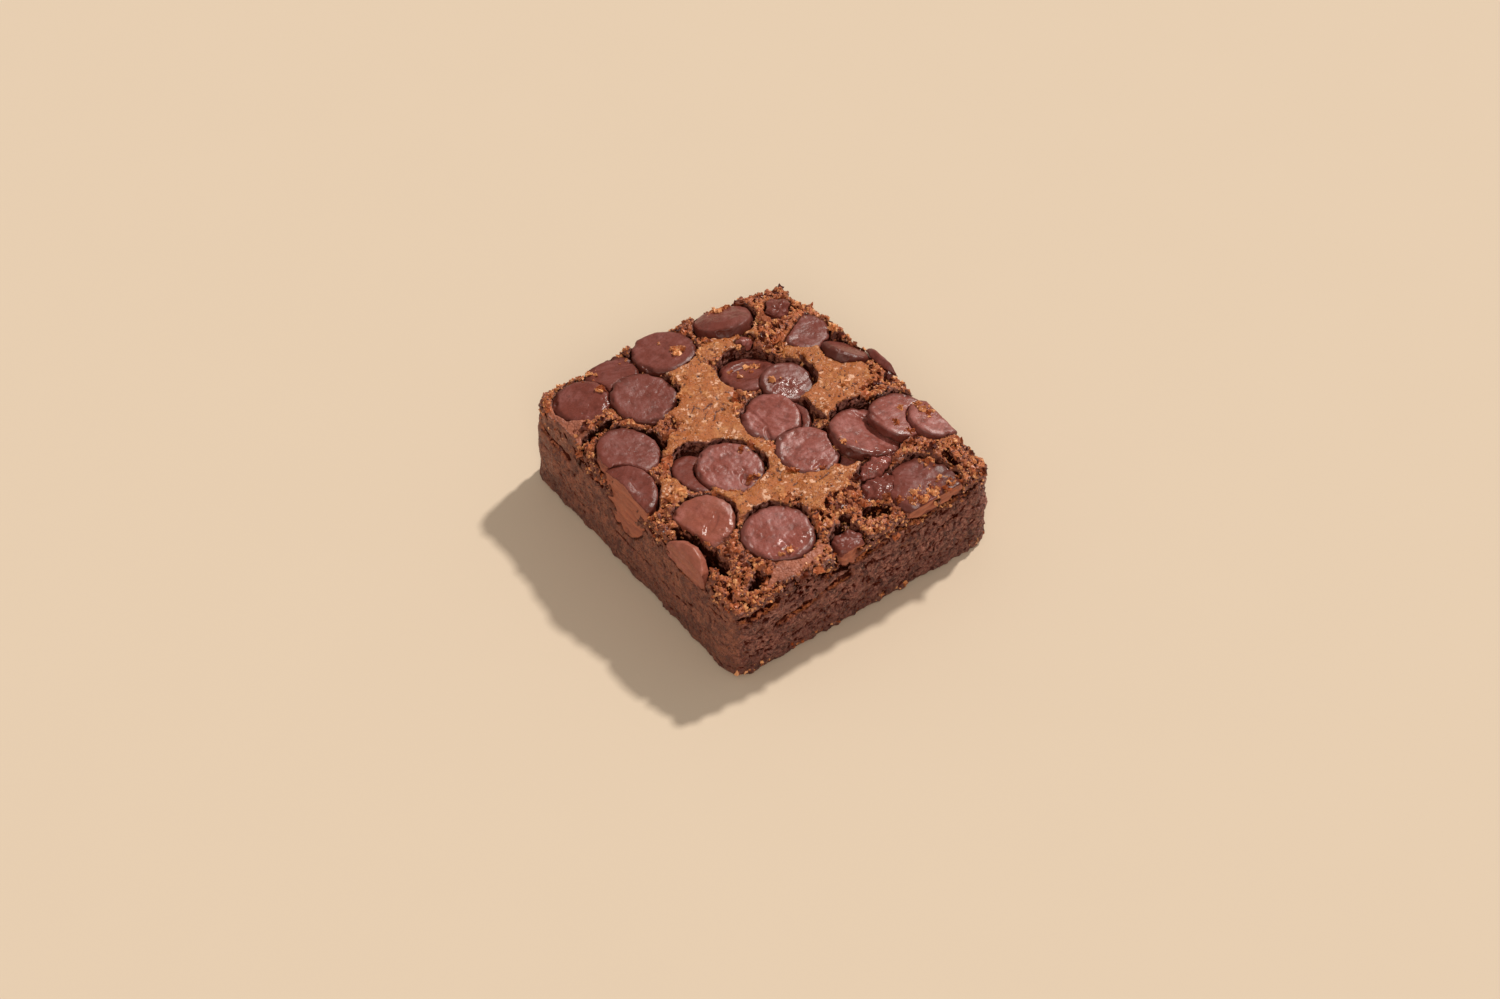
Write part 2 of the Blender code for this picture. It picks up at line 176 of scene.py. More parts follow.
# Where bits of crust and crumb lie on the chocolate, in mm: x, y, half width along x, half width along y
SPRINKLES = (
    (-0.2, 31.8, 3.2, 1.1),
    (-22.7, 32.2, 1.2, 1.0),
    (-2.3, 36.4, 0.9, 0.9),
    (-22.0, 38.2, 3.0, 1.8),
    (-12.6, 38.4, 2.0, 1.8),
    (-14.6, -28.2, 0.9, 0.9),
    (-7.6, -3.6, 2.4, 1.4),
    (-10.5, -11.6, 2.0, 1.2),
    (-17.5, -34.2, 2.6, 1.1),
    (11.2, -15.4, 1.8, 2.2),
    (2.8, -18.6, 2.0, 1.0),
    (30.2, -13.8, 0.9, 0.9),
    (26.2, -20.4, 1.3, 2.4),
    (34.5, -18.0, 2.0, 3.0),
    (-27.6, 11.8, 0.5, 0.5),
    (6.4, 18.4, 1.6, 2.2),
    (11.4, 18.4, 3.0, 1.6),
    (11.4, 9.6, 2.0, 1.2),
    (18.0, -36.8, 8.0, 1.4),
    (24.6, -31.6, 2.2, 2.4),
    (30.0, 22.4, 1.6, 2.2),
    (15.6, 38.0, 4.0, 0.9),
    (3.0, -38.5, 3.0, 2.0),
    (20.0, -39.0, 9.5, 2.0),
    (-31.0, -8.0, 1.2, 0.6),
)

# Dents and splits in the chocolate, in mm and degrees: x, y, half length, half width, turn, depth
DENTS = (
    (-12.1, -10.8, 1.7, 1.1, 70.0, 1.0),
    (-12.9, -7.9, 0.35, 0.35, 0.0, 0.5),
    (-10.6, -8.4, 0.3, 0.3, 0.0, 0.4),
    (0.4, -2.6, 2.1, 0.7, 70.0, 0.5),
    (1.4, 4.0, 5.0, 0.4, 95.0, 0.25),
    (12.3, 9.4, 1.6, 0.3, 8.0, 0.6),
    (10.4, 8.0, 1.2, 0.25, 20.0, 0.5),
    (3.8, -17.2, 2.0, 0.5, 10.0, 0.4),
    (-26.5, -17.5, 3.2, 1.2, 30.0, 0.35),
    (-16.5, -32.4, 0.35, 1.6, 0.0, 0.4),
    (22.0, -12.0, 4.5, 0.9, 100.0, 0.45),
    (9.0, 17.2, 5.0, 3.6, 0.0, 0.9),
)


# ---------------------------------------------------------------- settings
class BrownieSizes(bpy.types.PropertyGroup):
    """Sizes of the surface detail."""
    slab_grid: FloatProperty(
        name="Slab grid", description="Width of one face of the slab's surface",
        default=0.33 * MM, min=0.2 * MM, max=2.0 * MM, subtype="DISTANCE", unit="LENGTH")
    chocolate_grid: FloatProperty(
        name="Chocolate grid", description="Width of one face of a disc's surface",
        default=0.27 * MM, min=0.15 * MM, max=2.0 * MM, subtype="DISTANCE", unit="LENGTH")
    tear_depth: FloatProperty(
        name="Tear depth", description="How deep the cut sides are torn",
        default=0.42 * MM, min=0.0, max=2.0 * MM, subtype="DISTANCE", unit="LENGTH")
    crust_rise: FloatProperty(
        name="Crust rise", description="How far the crust stands above the crumb round it",
        default=0.75 * MM, min=0.0, max=2.0 * MM, subtype="DISTANCE", unit="LENGTH")
    crust_relief: FloatProperty(
        name="Crust relief", description="Height of the crust's blisters",
        default=0.24 * MM, min=0.0, max=1.0 * MM, subtype="DISTANCE", unit="LENGTH")
    crumb_size: FloatProperty(
        name="Crumb size", description="Width of the largest loose crumb",
        default=2.2 * MM, min=0.3 * MM, max=4.0 * MM, subtype="DISTANCE", unit="LENGTH")
    seed: IntProperty(
        name="Seed", description="Changes where tears, blisters and crumbs fall", default=7, min=0)


class BrownieColours(bpy.types.PropertyGroup):
    """Colours of the cake, the crust and the chocolate."""
    crumb: FloatVectorProperty(
        name="Crumb", description="Colour of the cut crumb", subtype="COLOR", size=4,
        default=(0.61, 0.175, 0.066, 1.0), min=0.0, max=1.0)
    # Dark crumb colour: the real colour of dark grains, spots and loose crumbs, and also the painted shade in the
    # crumb's cavities. The slab is also darkened with it towards the bottom.
    dark_crumb_and_shade: FloatVectorProperty(
        name="Moist crumb", description="Colour of the crumb in its tears", subtype="COLOR", size=4,
        default=(0.085, 0.007, 0.002, 1.0), min=0.0, max=1.0)
    moist: FloatVectorProperty(
        name="Fudge", description="Colour of the crumb where it is dense and moist", subtype="COLOR", size=4,
        default=(0.20, 0.052, 0.034, 1.0), min=0.0, max=1.0)
    # Crust pit colour: random dark specks, and also painted shade in the crust's low spots.
    pits_and_shade: FloatVectorProperty(
        name="Pits", description="Colour of the pits in the crust", subtype="COLOR", size=4,
        default=(0.13, 0.022, 0.004, 1.0), min=0.0, max=1.0)
    # Pale flecks on the crust, partly its pale skin and partly painted glints.
    fleck_and_glint: FloatVectorProperty(
        name="Flecks", description="Colour of the thin skin on the crust's blisters", subtype="COLOR", size=4,
        default=(0.95, 0.54, 0.35, 1.0), min=0.0, max=1.0)
    torn_crumb: FloatVectorProperty(
        name="Torn crumb", description="Colour of the moist crumb on the torn sides", subtype="COLOR", size=4,
        default=(0.42, 0.115, 0.075, 1.0), min=0.0, max=1.0)
    # Painted shade: the near-black colour painted into the crumb's low spots, hollows, slots and the crevices round the
    # discs.
    shade: FloatVectorProperty(
        name="Gaps", description="Colour of the wet crumb deep in gaps", subtype="COLOR", size=4,
        default=(0.028, 0.005, 0.002, 1.0), min=0.0, max=1.0)
    baked_pale: FloatVectorProperty(
        name="Pale crumbs", description="Colour of the palest loose crumbs from the crust", subtype="COLOR", size=4,
        default=(0.88, 0.40, 0.165, 1.0), min=0.0, max=1.0)
    baked: FloatVectorProperty(
        name="Baked crumbs", description="Colour of the darkest loose crumbs from the crust", subtype="COLOR", size=4,
        default=(0.38, 0.078, 0.018, 1.0), min=0.0, max=1.0)
    # Painted highlight: pale sparkle painted on the torn sides.
    painted_sparkle: FloatVectorProperty(
        name="Bright crumb", description="Colour of the highest crumb on the torn sides", subtype="COLOR", size=4,
        default=(0.66, 0.270, 0.200, 1.0), min=0.0, max=1.0)
    cut_crumb: FloatVectorProperty(
        name="Cut crumb", description="Colour of the crumb on the cut sides", subtype="COLOR", size=4,
        default=(0.455, 0.142, 0.074, 1.0), min=0.0, max=1.0)
    crust: FloatVectorProperty(
        name="Crust", description="Colour of the baked crust", subtype="COLOR", size=4,
        default=(0.46, 0.125, 0.020, 1.0), min=0.0, max=1.0)
    crust_pale: FloatVectorProperty(
        name="Pale crust", description="Colour of the crust's blisters", subtype="COLOR", size=4,
        default=(0.69, 0.27, 0.085, 1.0), min=0.0, max=1.0)
    toasted: FloatVectorProperty(
        name="Toasted crumb", description="Colour of the crumbs that browned", subtype="COLOR", size=4,
        default=(0.54, 0.150, 0.034, 1.0), min=0.0, max=1.0)
    smear: FloatVectorProperty(
        name="Cut chocolate", description="Colour of the chocolate where the knife went through it",
        subtype="COLOR", size=4, default=(0.50, 0.160, 0.088, 1.0), min=0.0, max=1.0)
    # Dark chocolate colour: worn patches and specks, the pieces painted darker, and painted shade along the discs'
    # edges.
    chocolate_dark_and_shade: FloatVectorProperty(
        name="Dark chocolate", description="Colour of the darkest discs and of the edges",
        subtype="COLOR", size=4, default=(0.095, 0.020, 0.012, 1.0), min=0.0, max=1.0)
    chocolate: FloatVectorProperty(
        name="Chocolate", description="Colour of the discs", subtype="COLOR", size=4,
        default=(0.32, 0.080, 0.058, 1.0), min=0.0, max=1.0)
    bloom: FloatVectorProperty(
        name="Bloom", description="Colour of the discs where the chocolate has bloomed",
        subtype="COLOR", size=4, default=(0.44, 0.145, 0.125, 1.0), min=0.0, max=1.0)


class BrownieStage(bpy.types.PropertyGroup):
    """Light and floor."""
    key_strength: FloatProperty(
        name="Key light", description="Strength of the main light", default=2.3, min=0.0)
    key_softness: FloatProperty(
        name="Key softness", description="Angle under which the main light is seen",
        default=math.radians(4.0), min=0.0, subtype="ANGLE", unit="ROTATION")
    fill_strength: FloatProperty(
        name="Fill light", description="Strength of the light from all round", default=0.30, min=0.0)
    front_strength: FloatProperty(
        name="Front light", description="Strength of the broad light from the viewer's side",
        default=0.8, min=0.0)
    floor: FloatVectorProperty(
        name="Floor", description="Colour of the floor", subtype="COLOR", size=4,
        default=(0.80, 0.655, 0.50, 1.0), min=0.0, max=1.0)


# ---------------------------------------------------------------- numbers over points
LATTICE_PRIMES = np.array((73856093, 19349663, 83492791), dtype=np.int64)
TABLE_SIZE = 4096
TABLE = np.random.default_rng(11).random((TABLE_SIZE, 3))
DIRECTIONS = TABLE * 2.0 - 1.0
DIRECTIONS /= np.linalg.norm(DIRECTIONS, axis=1, keepdims=True)
SEED_STEP = 977
CORNERS = tuple(itertools.product((0, 1), repeat=3))
NEIGHBOURS = tuple(itertools.product((-1, 0, 1), repeat=3))


def lattice_index(cell, seed):
    mixed = (cell * LATTICE_PRIMES).sum(axis=1)
    mixed = mixed ^ (mixed >> 13)
    return (mixed + seed * SEED_STEP) % TABLE_SIZE


def smooth_noise(points, size, seed):
    """Noise from about -1 to 1 whose features are this wide; size may differ per axis."""
    scaled = points / np.asarray(size)
    cell = np.floor(scaled).astype(np.int64)
    part = scaled - cell
    weight = part * part * part * (part * (part * 6.0 - 15.0) + 10.0)
    total = np.zeros(len(points))
    for corner in CORNERS:
        corner = np.array(corner)
        direction = DIRECTIONS[lattice_index(cell + corner, seed)]
        share = np.prod(np.where(corner == 1, weight, 1.0 - weight), axis=1)
        total += share * np.einsum("ij,ij->i", direction, part - corner)
    return total * 1.6


def rough_noise(points, size, seed, octaves=4, gain=0.55):
    """Noise with finer and finer features on top of each other."""
    size = np.asarray(size, dtype=float)
    total = np.zeros(len(points))
    height = 1.0
    for octave in range(octaves):
        total += height * smooth_noise(points, size / 2.0 ** octave, seed + octave)
        height *= gain
    return total


def cell_pattern(points, size, seed):
    """Scattered cells: distance to the nearest and the next middle, and a number for the nearest."""
    scaled = points / np.asarray(size)
    home = np.floor(scaled).astype(np.int64)
    first = np.full(len(points), 9.0)
    second = first.copy()
    tone = np.zeros(len(points))
    for step in NEIGHBOURS:
        cell = home + np.array(step)
        index = lattice_index(cell, seed)
        distance = np.linalg.norm(scaled - cell - TABLE[index], axis=1)
        nearer = distance < first
        second = np.where(nearer, first, np.minimum(second, distance))
        tone = np.where(nearer, TABLE[(index * 7 + 3) % TABLE_SIZE, 0], tone)
        first = np.where(nearer, distance, first)
    return first, second, tone


def ramp(value, low, high):
    """0 below low, 1 above high, smooth between; high may lie below low."""
    t = np.clip((value - low) / (high - low), 0.0, 1.0)
    return t * t * (3.0 - 2.0 * t)


# ---------------------------------------------------------------- meshes
def points_of(mesh):
    points = np.empty(len(mesh.vertices) * 3, dtype=np.float32)
    mesh.vertices.foreach_get("co", points)
    return points.reshape(-1, 3).astype(float)


def normals_of(mesh):
    normals = np.empty(len(mesh.vertices) * 3, dtype=np.float32)
    mesh.vertex_normals.foreach_get("vector", normals)
    return normals.reshape(-1, 3).astype(float)


def edges_of(mesh):
    edges = np.empty(len(mesh.edges) * 2, dtype=np.int32)
    mesh.edges.foreach_get("vertices", edges)
    return edges.reshape(-1, 2)


def put_points(mesh, points):
    mesh.vertices.foreach_set("co", points.astype(np.float32).ravel())
    mesh.update()


def put_values(mesh, name, values):
    attribute = mesh.attributes.get(name) or mesh.attributes.new(name, "FLOAT", "POINT")
    attribute.data.foreach_set("value", np.asarray(values, dtype=np.float32))


def averaged(values, edges, rounds, share=0.5):
    """Even out values, or points, with those at the other ends of their edges."""
    flat = values.reshape(len(values), -1).copy()
    start, end = edges.T
    count = len(flat)
    degree = np.bincount(start, minlength=count) + np.bincount(end, minlength=count)
    for _ in range(rounds):
        for column in range(flat.shape[1]):
            near = flat[:, column]
            total = np.bincount(start, near[end], count) + np.bincount(end, near[start], count)
            flat[:, column] = near + share * (total / np.maximum(degree, 1) - near)
    return flat.reshape(values.shape)


def ellipse_depth(points, ellipses, wander, steep):
    """How deep the named hollows or dents reach at each point, in metres."""
    shift = wander * np.stack([rough_noise(points, 2.5 * MM, 51, 3), rough_noise(points, 2.5 * MM, 57, 3)], axis=1)
    spot = points[:, :2] + shift
    depth = np.zeros(len(points))
    for x, y, half_length, half_width, turn, deep in ellipses:
        cosine, sine = math.cos(math.radians(turn)), math.sin(math.radians(turn))
        dx, dy = spot[:, 0] - x * MM, spot[:, 1] - y * MM
        along, across = dx * cosine + dy * sine, dy * cosine - dx * sine
        away = np.hypot(along / (half_length * MM), across / (half_width * MM))
        depth = np.maximum(depth, deep * MM * ramp(away, 1.15, steep))
    return depth


def merged_copy(name):
    """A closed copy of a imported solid."""
    bm = bmesh.new()
    bm.from_mesh(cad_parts[name].data)
    bmesh.ops.remove_doubles(bm, verts=bm.verts[:], dist=0.002 * MM)
    mesh = bpy.data.meshes.new(name + "_copy")
    bm.to_mesh(mesh)
    bm.free()
    return mesh


def new_object(name, mesh):
    obj = bpy.data.objects.new(name, mesh)
    bpy.context.scene.collection.objects.link(obj)
    return obj


def applied(obj):
    """The plain mesh that the object's modifiers make; the object itself is removed."""
    bpy.context.view_layer.update()
    graph = bpy.context.evaluated_depsgraph_get()
    mesh = bpy.data.meshes.new_from_object(obj.evaluated_get(graph))
    bpy.data.objects.remove(obj, do_unlink=True)
    return mesh


def regridded(mesh, width):
    """The same shape on an even grid, with whatever overlaps in it grown together."""
    obj = new_object("regrid", mesh)
    remesh = obj.modifiers.new("grid", "REMESH")
    remesh.mode = "VOXEL"
    remesh.voxel_size = width
    remesh.use_smooth_shade = True
    return applied(obj)


def finish_piece(name, mesh, material, slot, *nodes):
    """Show the mesh as a piece of the brownie."""
    mesh.name = name
    mesh.materials.clear()
    mesh.materials.append(material)
    obj = new_object(name, mesh)
    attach(obj, "root")
    if nodes:
        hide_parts(*nodes)
    return obj


def triangles_of(meshes):
    """Points and triangles of several meshes as one, for finding the nearest surface."""
    points = []
    faces = []
    for mesh in meshes:
        mesh.calc_loop_triangles()
        corners = np.empty(len(mesh.loop_triangles) * 3, dtype=np.int32)
        mesh.loop_triangles.foreach_get("vertices", corners)
        faces.append(corners.reshape(-1, 3) + sum(len(p) for p in points))
        points.append(points_of(mesh))
    return np.concatenate(points), np.concatenate(faces)


def surface_tree(meshes):
    points, faces = triangles_of(meshes)
    return BVHTree.FromPolygons(points.tolist(), faces.tolist(), all_triangles=True)


def nearest_on(tree, points, reach):
    """Nearest surface point and its normal for each point; far ones get a distance of reach."""
    spots = points.copy()
    normals = np.zeros_like(points)
    distances = np.full(len(points), reach)
    for index, point in enumerate(points.tolist()):
        spot, normal, _, distance = tree.find_nearest(point, reach)
        if spot is not None:
            spots[index] = spot
            normals[index] = normal
            distances[index] = distance
    return spots, normals, distances


# ---------------------------------------------------------------- chocolate
def disc_frame(mesh):
    """Middle, radius and three axes of a disc: two in its plane and the one across it."""
    points = points_of(mesh)
    middle = points.mean(axis=0)
    _, _, axes = np.linalg.svd(points - middle, full_matrices=False)
    across = axes[2] * (1.0 if axes[2][2] > 0.0 else -1.0)
    along = np.cross((0.0, 1.0, 0.0), across)
    along /= np.linalg.norm(along)
    side = np.cross(across, along)
    radius = np.abs((points - middle) @ side).max()
    return middle, radius, along, side, across


def softened_chocolate(name, seed, sizes):
    """A disc or chunk as the oven left it: a crisp, chipped edge, dents and slow unevenness."""
    source = merged_copy(name)
    middle, radius, along, side, across = disc_frame(source)
    chunk = name.startswith("chunk")
    mesh = regridded(source, sizes.chocolate_grid)
    edges = edges_of(mesh)
    points = averaged(points_of(mesh), edges, 3)
    local = points - middle
    a, b, h = local @ along, local @ side, local @ across
    reach = np.hypot(a, b) / radius
    put_points(mesh, points)
    normals = normals_of(mesh)
    upper = ramp(h, 0.0, 1.0 * MM)

    relief = 0.2 * MM * smooth_noise(points, 6.5 * MM, seed)
    relief += 0.09 * MM * rough_noise(points, 3.0 * MM, seed + 15, 3)
    relief += 0.05 * MM * rough_noise(points, 1.5 * MM, seed + 20, 3)
    lip = np.exp(-((reach - 0.88) / 0.06) ** 2) * upper
    relief += 0.07 * MM * lip * np.clip(0.7 + 1.2 * smooth_noise(points, 4.0 * MM, seed + 5), 0.0, 1.5)
    chip, _, tone = cell_pattern(points, 2.4 * MM, seed + 9)
    relief -= 0.6 * MM * ramp(chip, 0.5, 0.2) * (tone > 0.66) * ramp(reach, 0.8, 0.97)
    relief += 0.28 * MM * rough_noise(points, 3.6 * MM, seed + 60, 2) * ramp(reach, 0.82, 0.98)
    pit, _, tone = cell_pattern(points, 1.1 * MM, seed + 11)
    relief -= 0.16 * MM * ramp(pit, 0.25, 0.08) * (tone > 0.86)
    flush = np.abs(normals[:, 2]) < 0.45
    flush &= (points[:, 1] < -39.6 * MM) | (points[:, 0] < -35.6 * MM)
    drag = rough_noise(points, (5.0 * MM, 5.0 * MM, 0.9 * MM), seed + 40, 3)
    relief += flush * MM * (0.3 * drag - 0.15)
    if chunk:
        relief += 0.8 * MM * rough_noise(points, 3.0 * MM, seed + 30, 4)
    rippled = patch_share(points, RIPPLES, 0.5 * MM, 0.3) * upper
    relief += 0.22 * MM * rippled * rough_noise(points, 2.4 * MM, seed + 50, 3)
    points += normals * relief[:, None]
    points[:, 2] -= ellipse_depth(points, DENTS, 0.1 * MM, 0.7) * upper
    put_points(mesh, points)
    put_values(mesh, "wet", rippled)
    # Painted shade: the disc's outer edge, painted darker where it meets its crevice.
    put_values(mesh, "edge", ramp(reach, 0.78, 0.98) * (1.0 - 0.7 * chunk))
    put_values(mesh, "tone", np.full(len(points), (seed * 0.37) % 1.0))
    # Painted shade: the pieces listed as shaded are painted darker.
    put_values(mesh, "dark", np.full(len(points), 1.0 if name in SHADED_PIECES else 0.12))
    on_cut, elsewhere = SMEARED_PIECES.get(name, (1.0, 0.0))
    put_values(mesh, "cut", np.where(flush, on_cut, elsewhere) * (0.8 + 0.4 * drag))
    return mesh


# ---------------------------------------------------------------- slab
def slab_block():
    """A plain gridded block with rounded edges, a little larger than the slab."""
    low = np.array(SLAB_LOW) - BLOCK_MARGIN
    high = np.array(SLAB_HIGH) + BLOCK_MARGIN
    bm = bmesh.new()
    bmesh.ops.create_cube(bm, size=2.0)
    bmesh.ops.subdivide_edges(bm, edges=bm.edges[:], cuts=BLOCK_CUTS, use_grid_fill=True)
    mesh = bpy.data.meshes.new("block")
    bm.to_mesh(mesh)
    bm.free()
    middle, half = (low + high) / 2.0, (high - low) / 2.0
    points = middle + points_of(mesh) * half
    core = np.clip(points, low + BLOCK_ROUNDING, high - BLOCK_ROUNDING)
    outward = points - core
    outward /= np.linalg.norm(outward, axis=1, keepdims=True)
    put_points(mesh, core + outward * BLOCK_ROUNDING)
    return mesh, outward


def slab_without_pockets(chocolate):
    """The slab's outer shape, drawn smoothly over its pockets."""
    mesh, outward = slab_block()
    points = points_of(mesh)
    cake = surface_tree([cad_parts["slab"].data])
    depth = np.zeros(len(points))
    known = np.zeros(len(points), dtype=bool)
    for index, (point, away) in enumerate(zip(points.tolist(), (-outward).tolist())):
        _, _, _, cake_depth = cake.ray_cast(point, away, BLOCK_REACH)
        _, _, _, disc_depth = chocolate.ray_cast(point, away, BLOCK_REACH)
        if cake_depth is not None and (disc_depth is None or disc_depth > cake_depth):
            depth[index] = cake_depth
            known[index] = True
    edges = edges_of(mesh)
    depth[~known] = np.median(depth[known])
    for _ in range(4):
        near = averaged(depth, edges, 6, 0.9)
        depth[~known] = near[~known]
        known &= ~(depth > near + POCKET_STEP)
    for _ in range(60):
        depth[~known] = averaged(depth, edges, 2, 0.9)[~known]
    put_points(mesh, points - outward * depth[:, None])
    return mesh


class DiscMap:
    """A plan of the discs: their upper faces, how far every spot lies outside them, and the face next to it."""

    def __init__(self, chocolate):
        low = np.array(CAD_BOX[0])[:2] - MAP_STEP
        size = np.array(CAD_BOX[1])[:2] - low + MAP_STEP
        self.low = low
        self.count = np.ceil(size / MAP_STEP).astype(int)
        top = np.full(self.count, -1.0)
        for i in range(self.count[0]):
            for j in range(self.count[1]):
                spot = (low[0] + i * MAP_STEP, low[1] + j * MAP_STEP, 0.05)
                hit, _, _, _ = chocolate.ray_cast(spot, (0.0, 0.0, -1.0), 0.04)
                if hit is not None:
                    top[i, j] = hit.z
        self.outside = np.where(top > 0.0, 0.0, MAP_REACH)
        self.face = np.where(top > 0.0, top, 0.0)
        steps = int(MAP_REACH / MAP_STEP)
        padded = np.pad(top, steps, constant_values=-1.0)
        for di, dj in itertools.product(range(-steps, steps + 1), repeat=2):
            away = math.hypot(di, dj) * MAP_STEP
            other = padded[steps + di:steps + di + self.count[0], steps + dj:steps + dj + self.count[1]]
            nearer = (other > 0.0) & (away < self.outside)
            self.outside = np.where(nearer, away, self.outside)
            self.face = np.where(nearer, other, self.face)
        away_x, away_y = np.gradient(self.outside, MAP_STEP)
        self.lit_side = 0.85 * away_x + 0.45 * away_y

    def read(self, values, points):
        """The map's value at each point, even between the grid's nodes."""
        spot = np.clip((points[:, :2] - self.low) / MAP_STEP, 0.0, self.count - 1.001)
        cell = spot.astype(int)
        (u, v), (i, j) = (spot - cell).T, cell.T
        return ((1 - u) * (1 - v) * values[i, j] + u * (1 - v) * values[i + 1, j]
                + (1 - u) * v * values[i, j + 1] + u * v * values[i + 1, j + 1])


def rim_distance(points):
    """How far a point lies in from the slab's outline, seen from above."""
    middle = np.array((SLAB_LOW + SLAB_HIGH) / 2.0)[:2]
    half = np.array((SLAB_HIGH - SLAB_LOW) / 2.0)[:2]
    away = np.abs(points[:, :2] - middle) - (half - CORNER_ROUNDING)
    outside = np.linalg.norm(np.maximum(away, 0.0), axis=1)
    inside = np.minimum(np.maximum(away[:, 0], away[:, 1]), 0.0)
    return CORNER_ROUNDING - outside - inside


def patch_share(points, patches, wander, soft):
    """1 inside any of the patches, 0 outside all, with an uneven border."""
    shift = wander * np.stack([rough_noise(points, 4.5 * MM, 31, 4), rough_noise(points, 4.5 * MM, 37, 4)], axis=1)
    spot = points[:, :2] + shift
    best = np.zeros(len(points))
    for x, y, half_x, half_y in patches:
        away = np.hypot((spot[:, 0] - x * MM) / (half_x * MM), (spot[:, 1] - y * MM) / (half_y * MM))
        best = np.maximum(best, ramp(away, 1.0 + soft, 1.0 - soft))
    return best


def slot_depth(points):
    """How deep the named slots in the sides reach at each point, in metres."""
    depth = np.zeros(len(points))
    wander = 0.5 * MM * smooth_noise(points, 4.0 * MM, 77)
    for side, start, end, level, fall, half_height, deep in SLOTS:
        across, along = (1, 0) if side == "front" else (0, 1)
        spot = points[:, along]
        share = np.clip((spot - start * MM) / ((end - start) * MM), 0.0, 1.0)
        here = ramp(spot, (start - 1.0) * MM, (start + 2.0) * MM) * ramp(spot, (end + 1.0) * MM, (end - 2.0) * MM)
        here = here * (points[:, across] < -30.0 * MM)
        away = np.abs(points[:, 2] - (level + fall * share) * MM - wander)
        depth = np.maximum(depth, deep * MM * here * ramp(away, half_height * MM, 0.4 * half_height * MM))
    return depth


def facing(normals):
    """Shares of each point that look up, down and sideways."""
    up = ramp(normals[:, 2], 0.35, 0.8)
    down = ramp(normals[:, 2], -0.3, -0.8)
    return up, down, (1.0 - up) * (1.0 - down)


def wall_roughness(normals):
    """The knife left one side smooth and tore the others."""
    smooth = ramp(-normals[:, 0], 0.4, 0.8)
    torn = ramp(-normals[:, 1], 0.3, 0.8)
    return 0.7 - 0.2 * smooth + 0.3 * torn


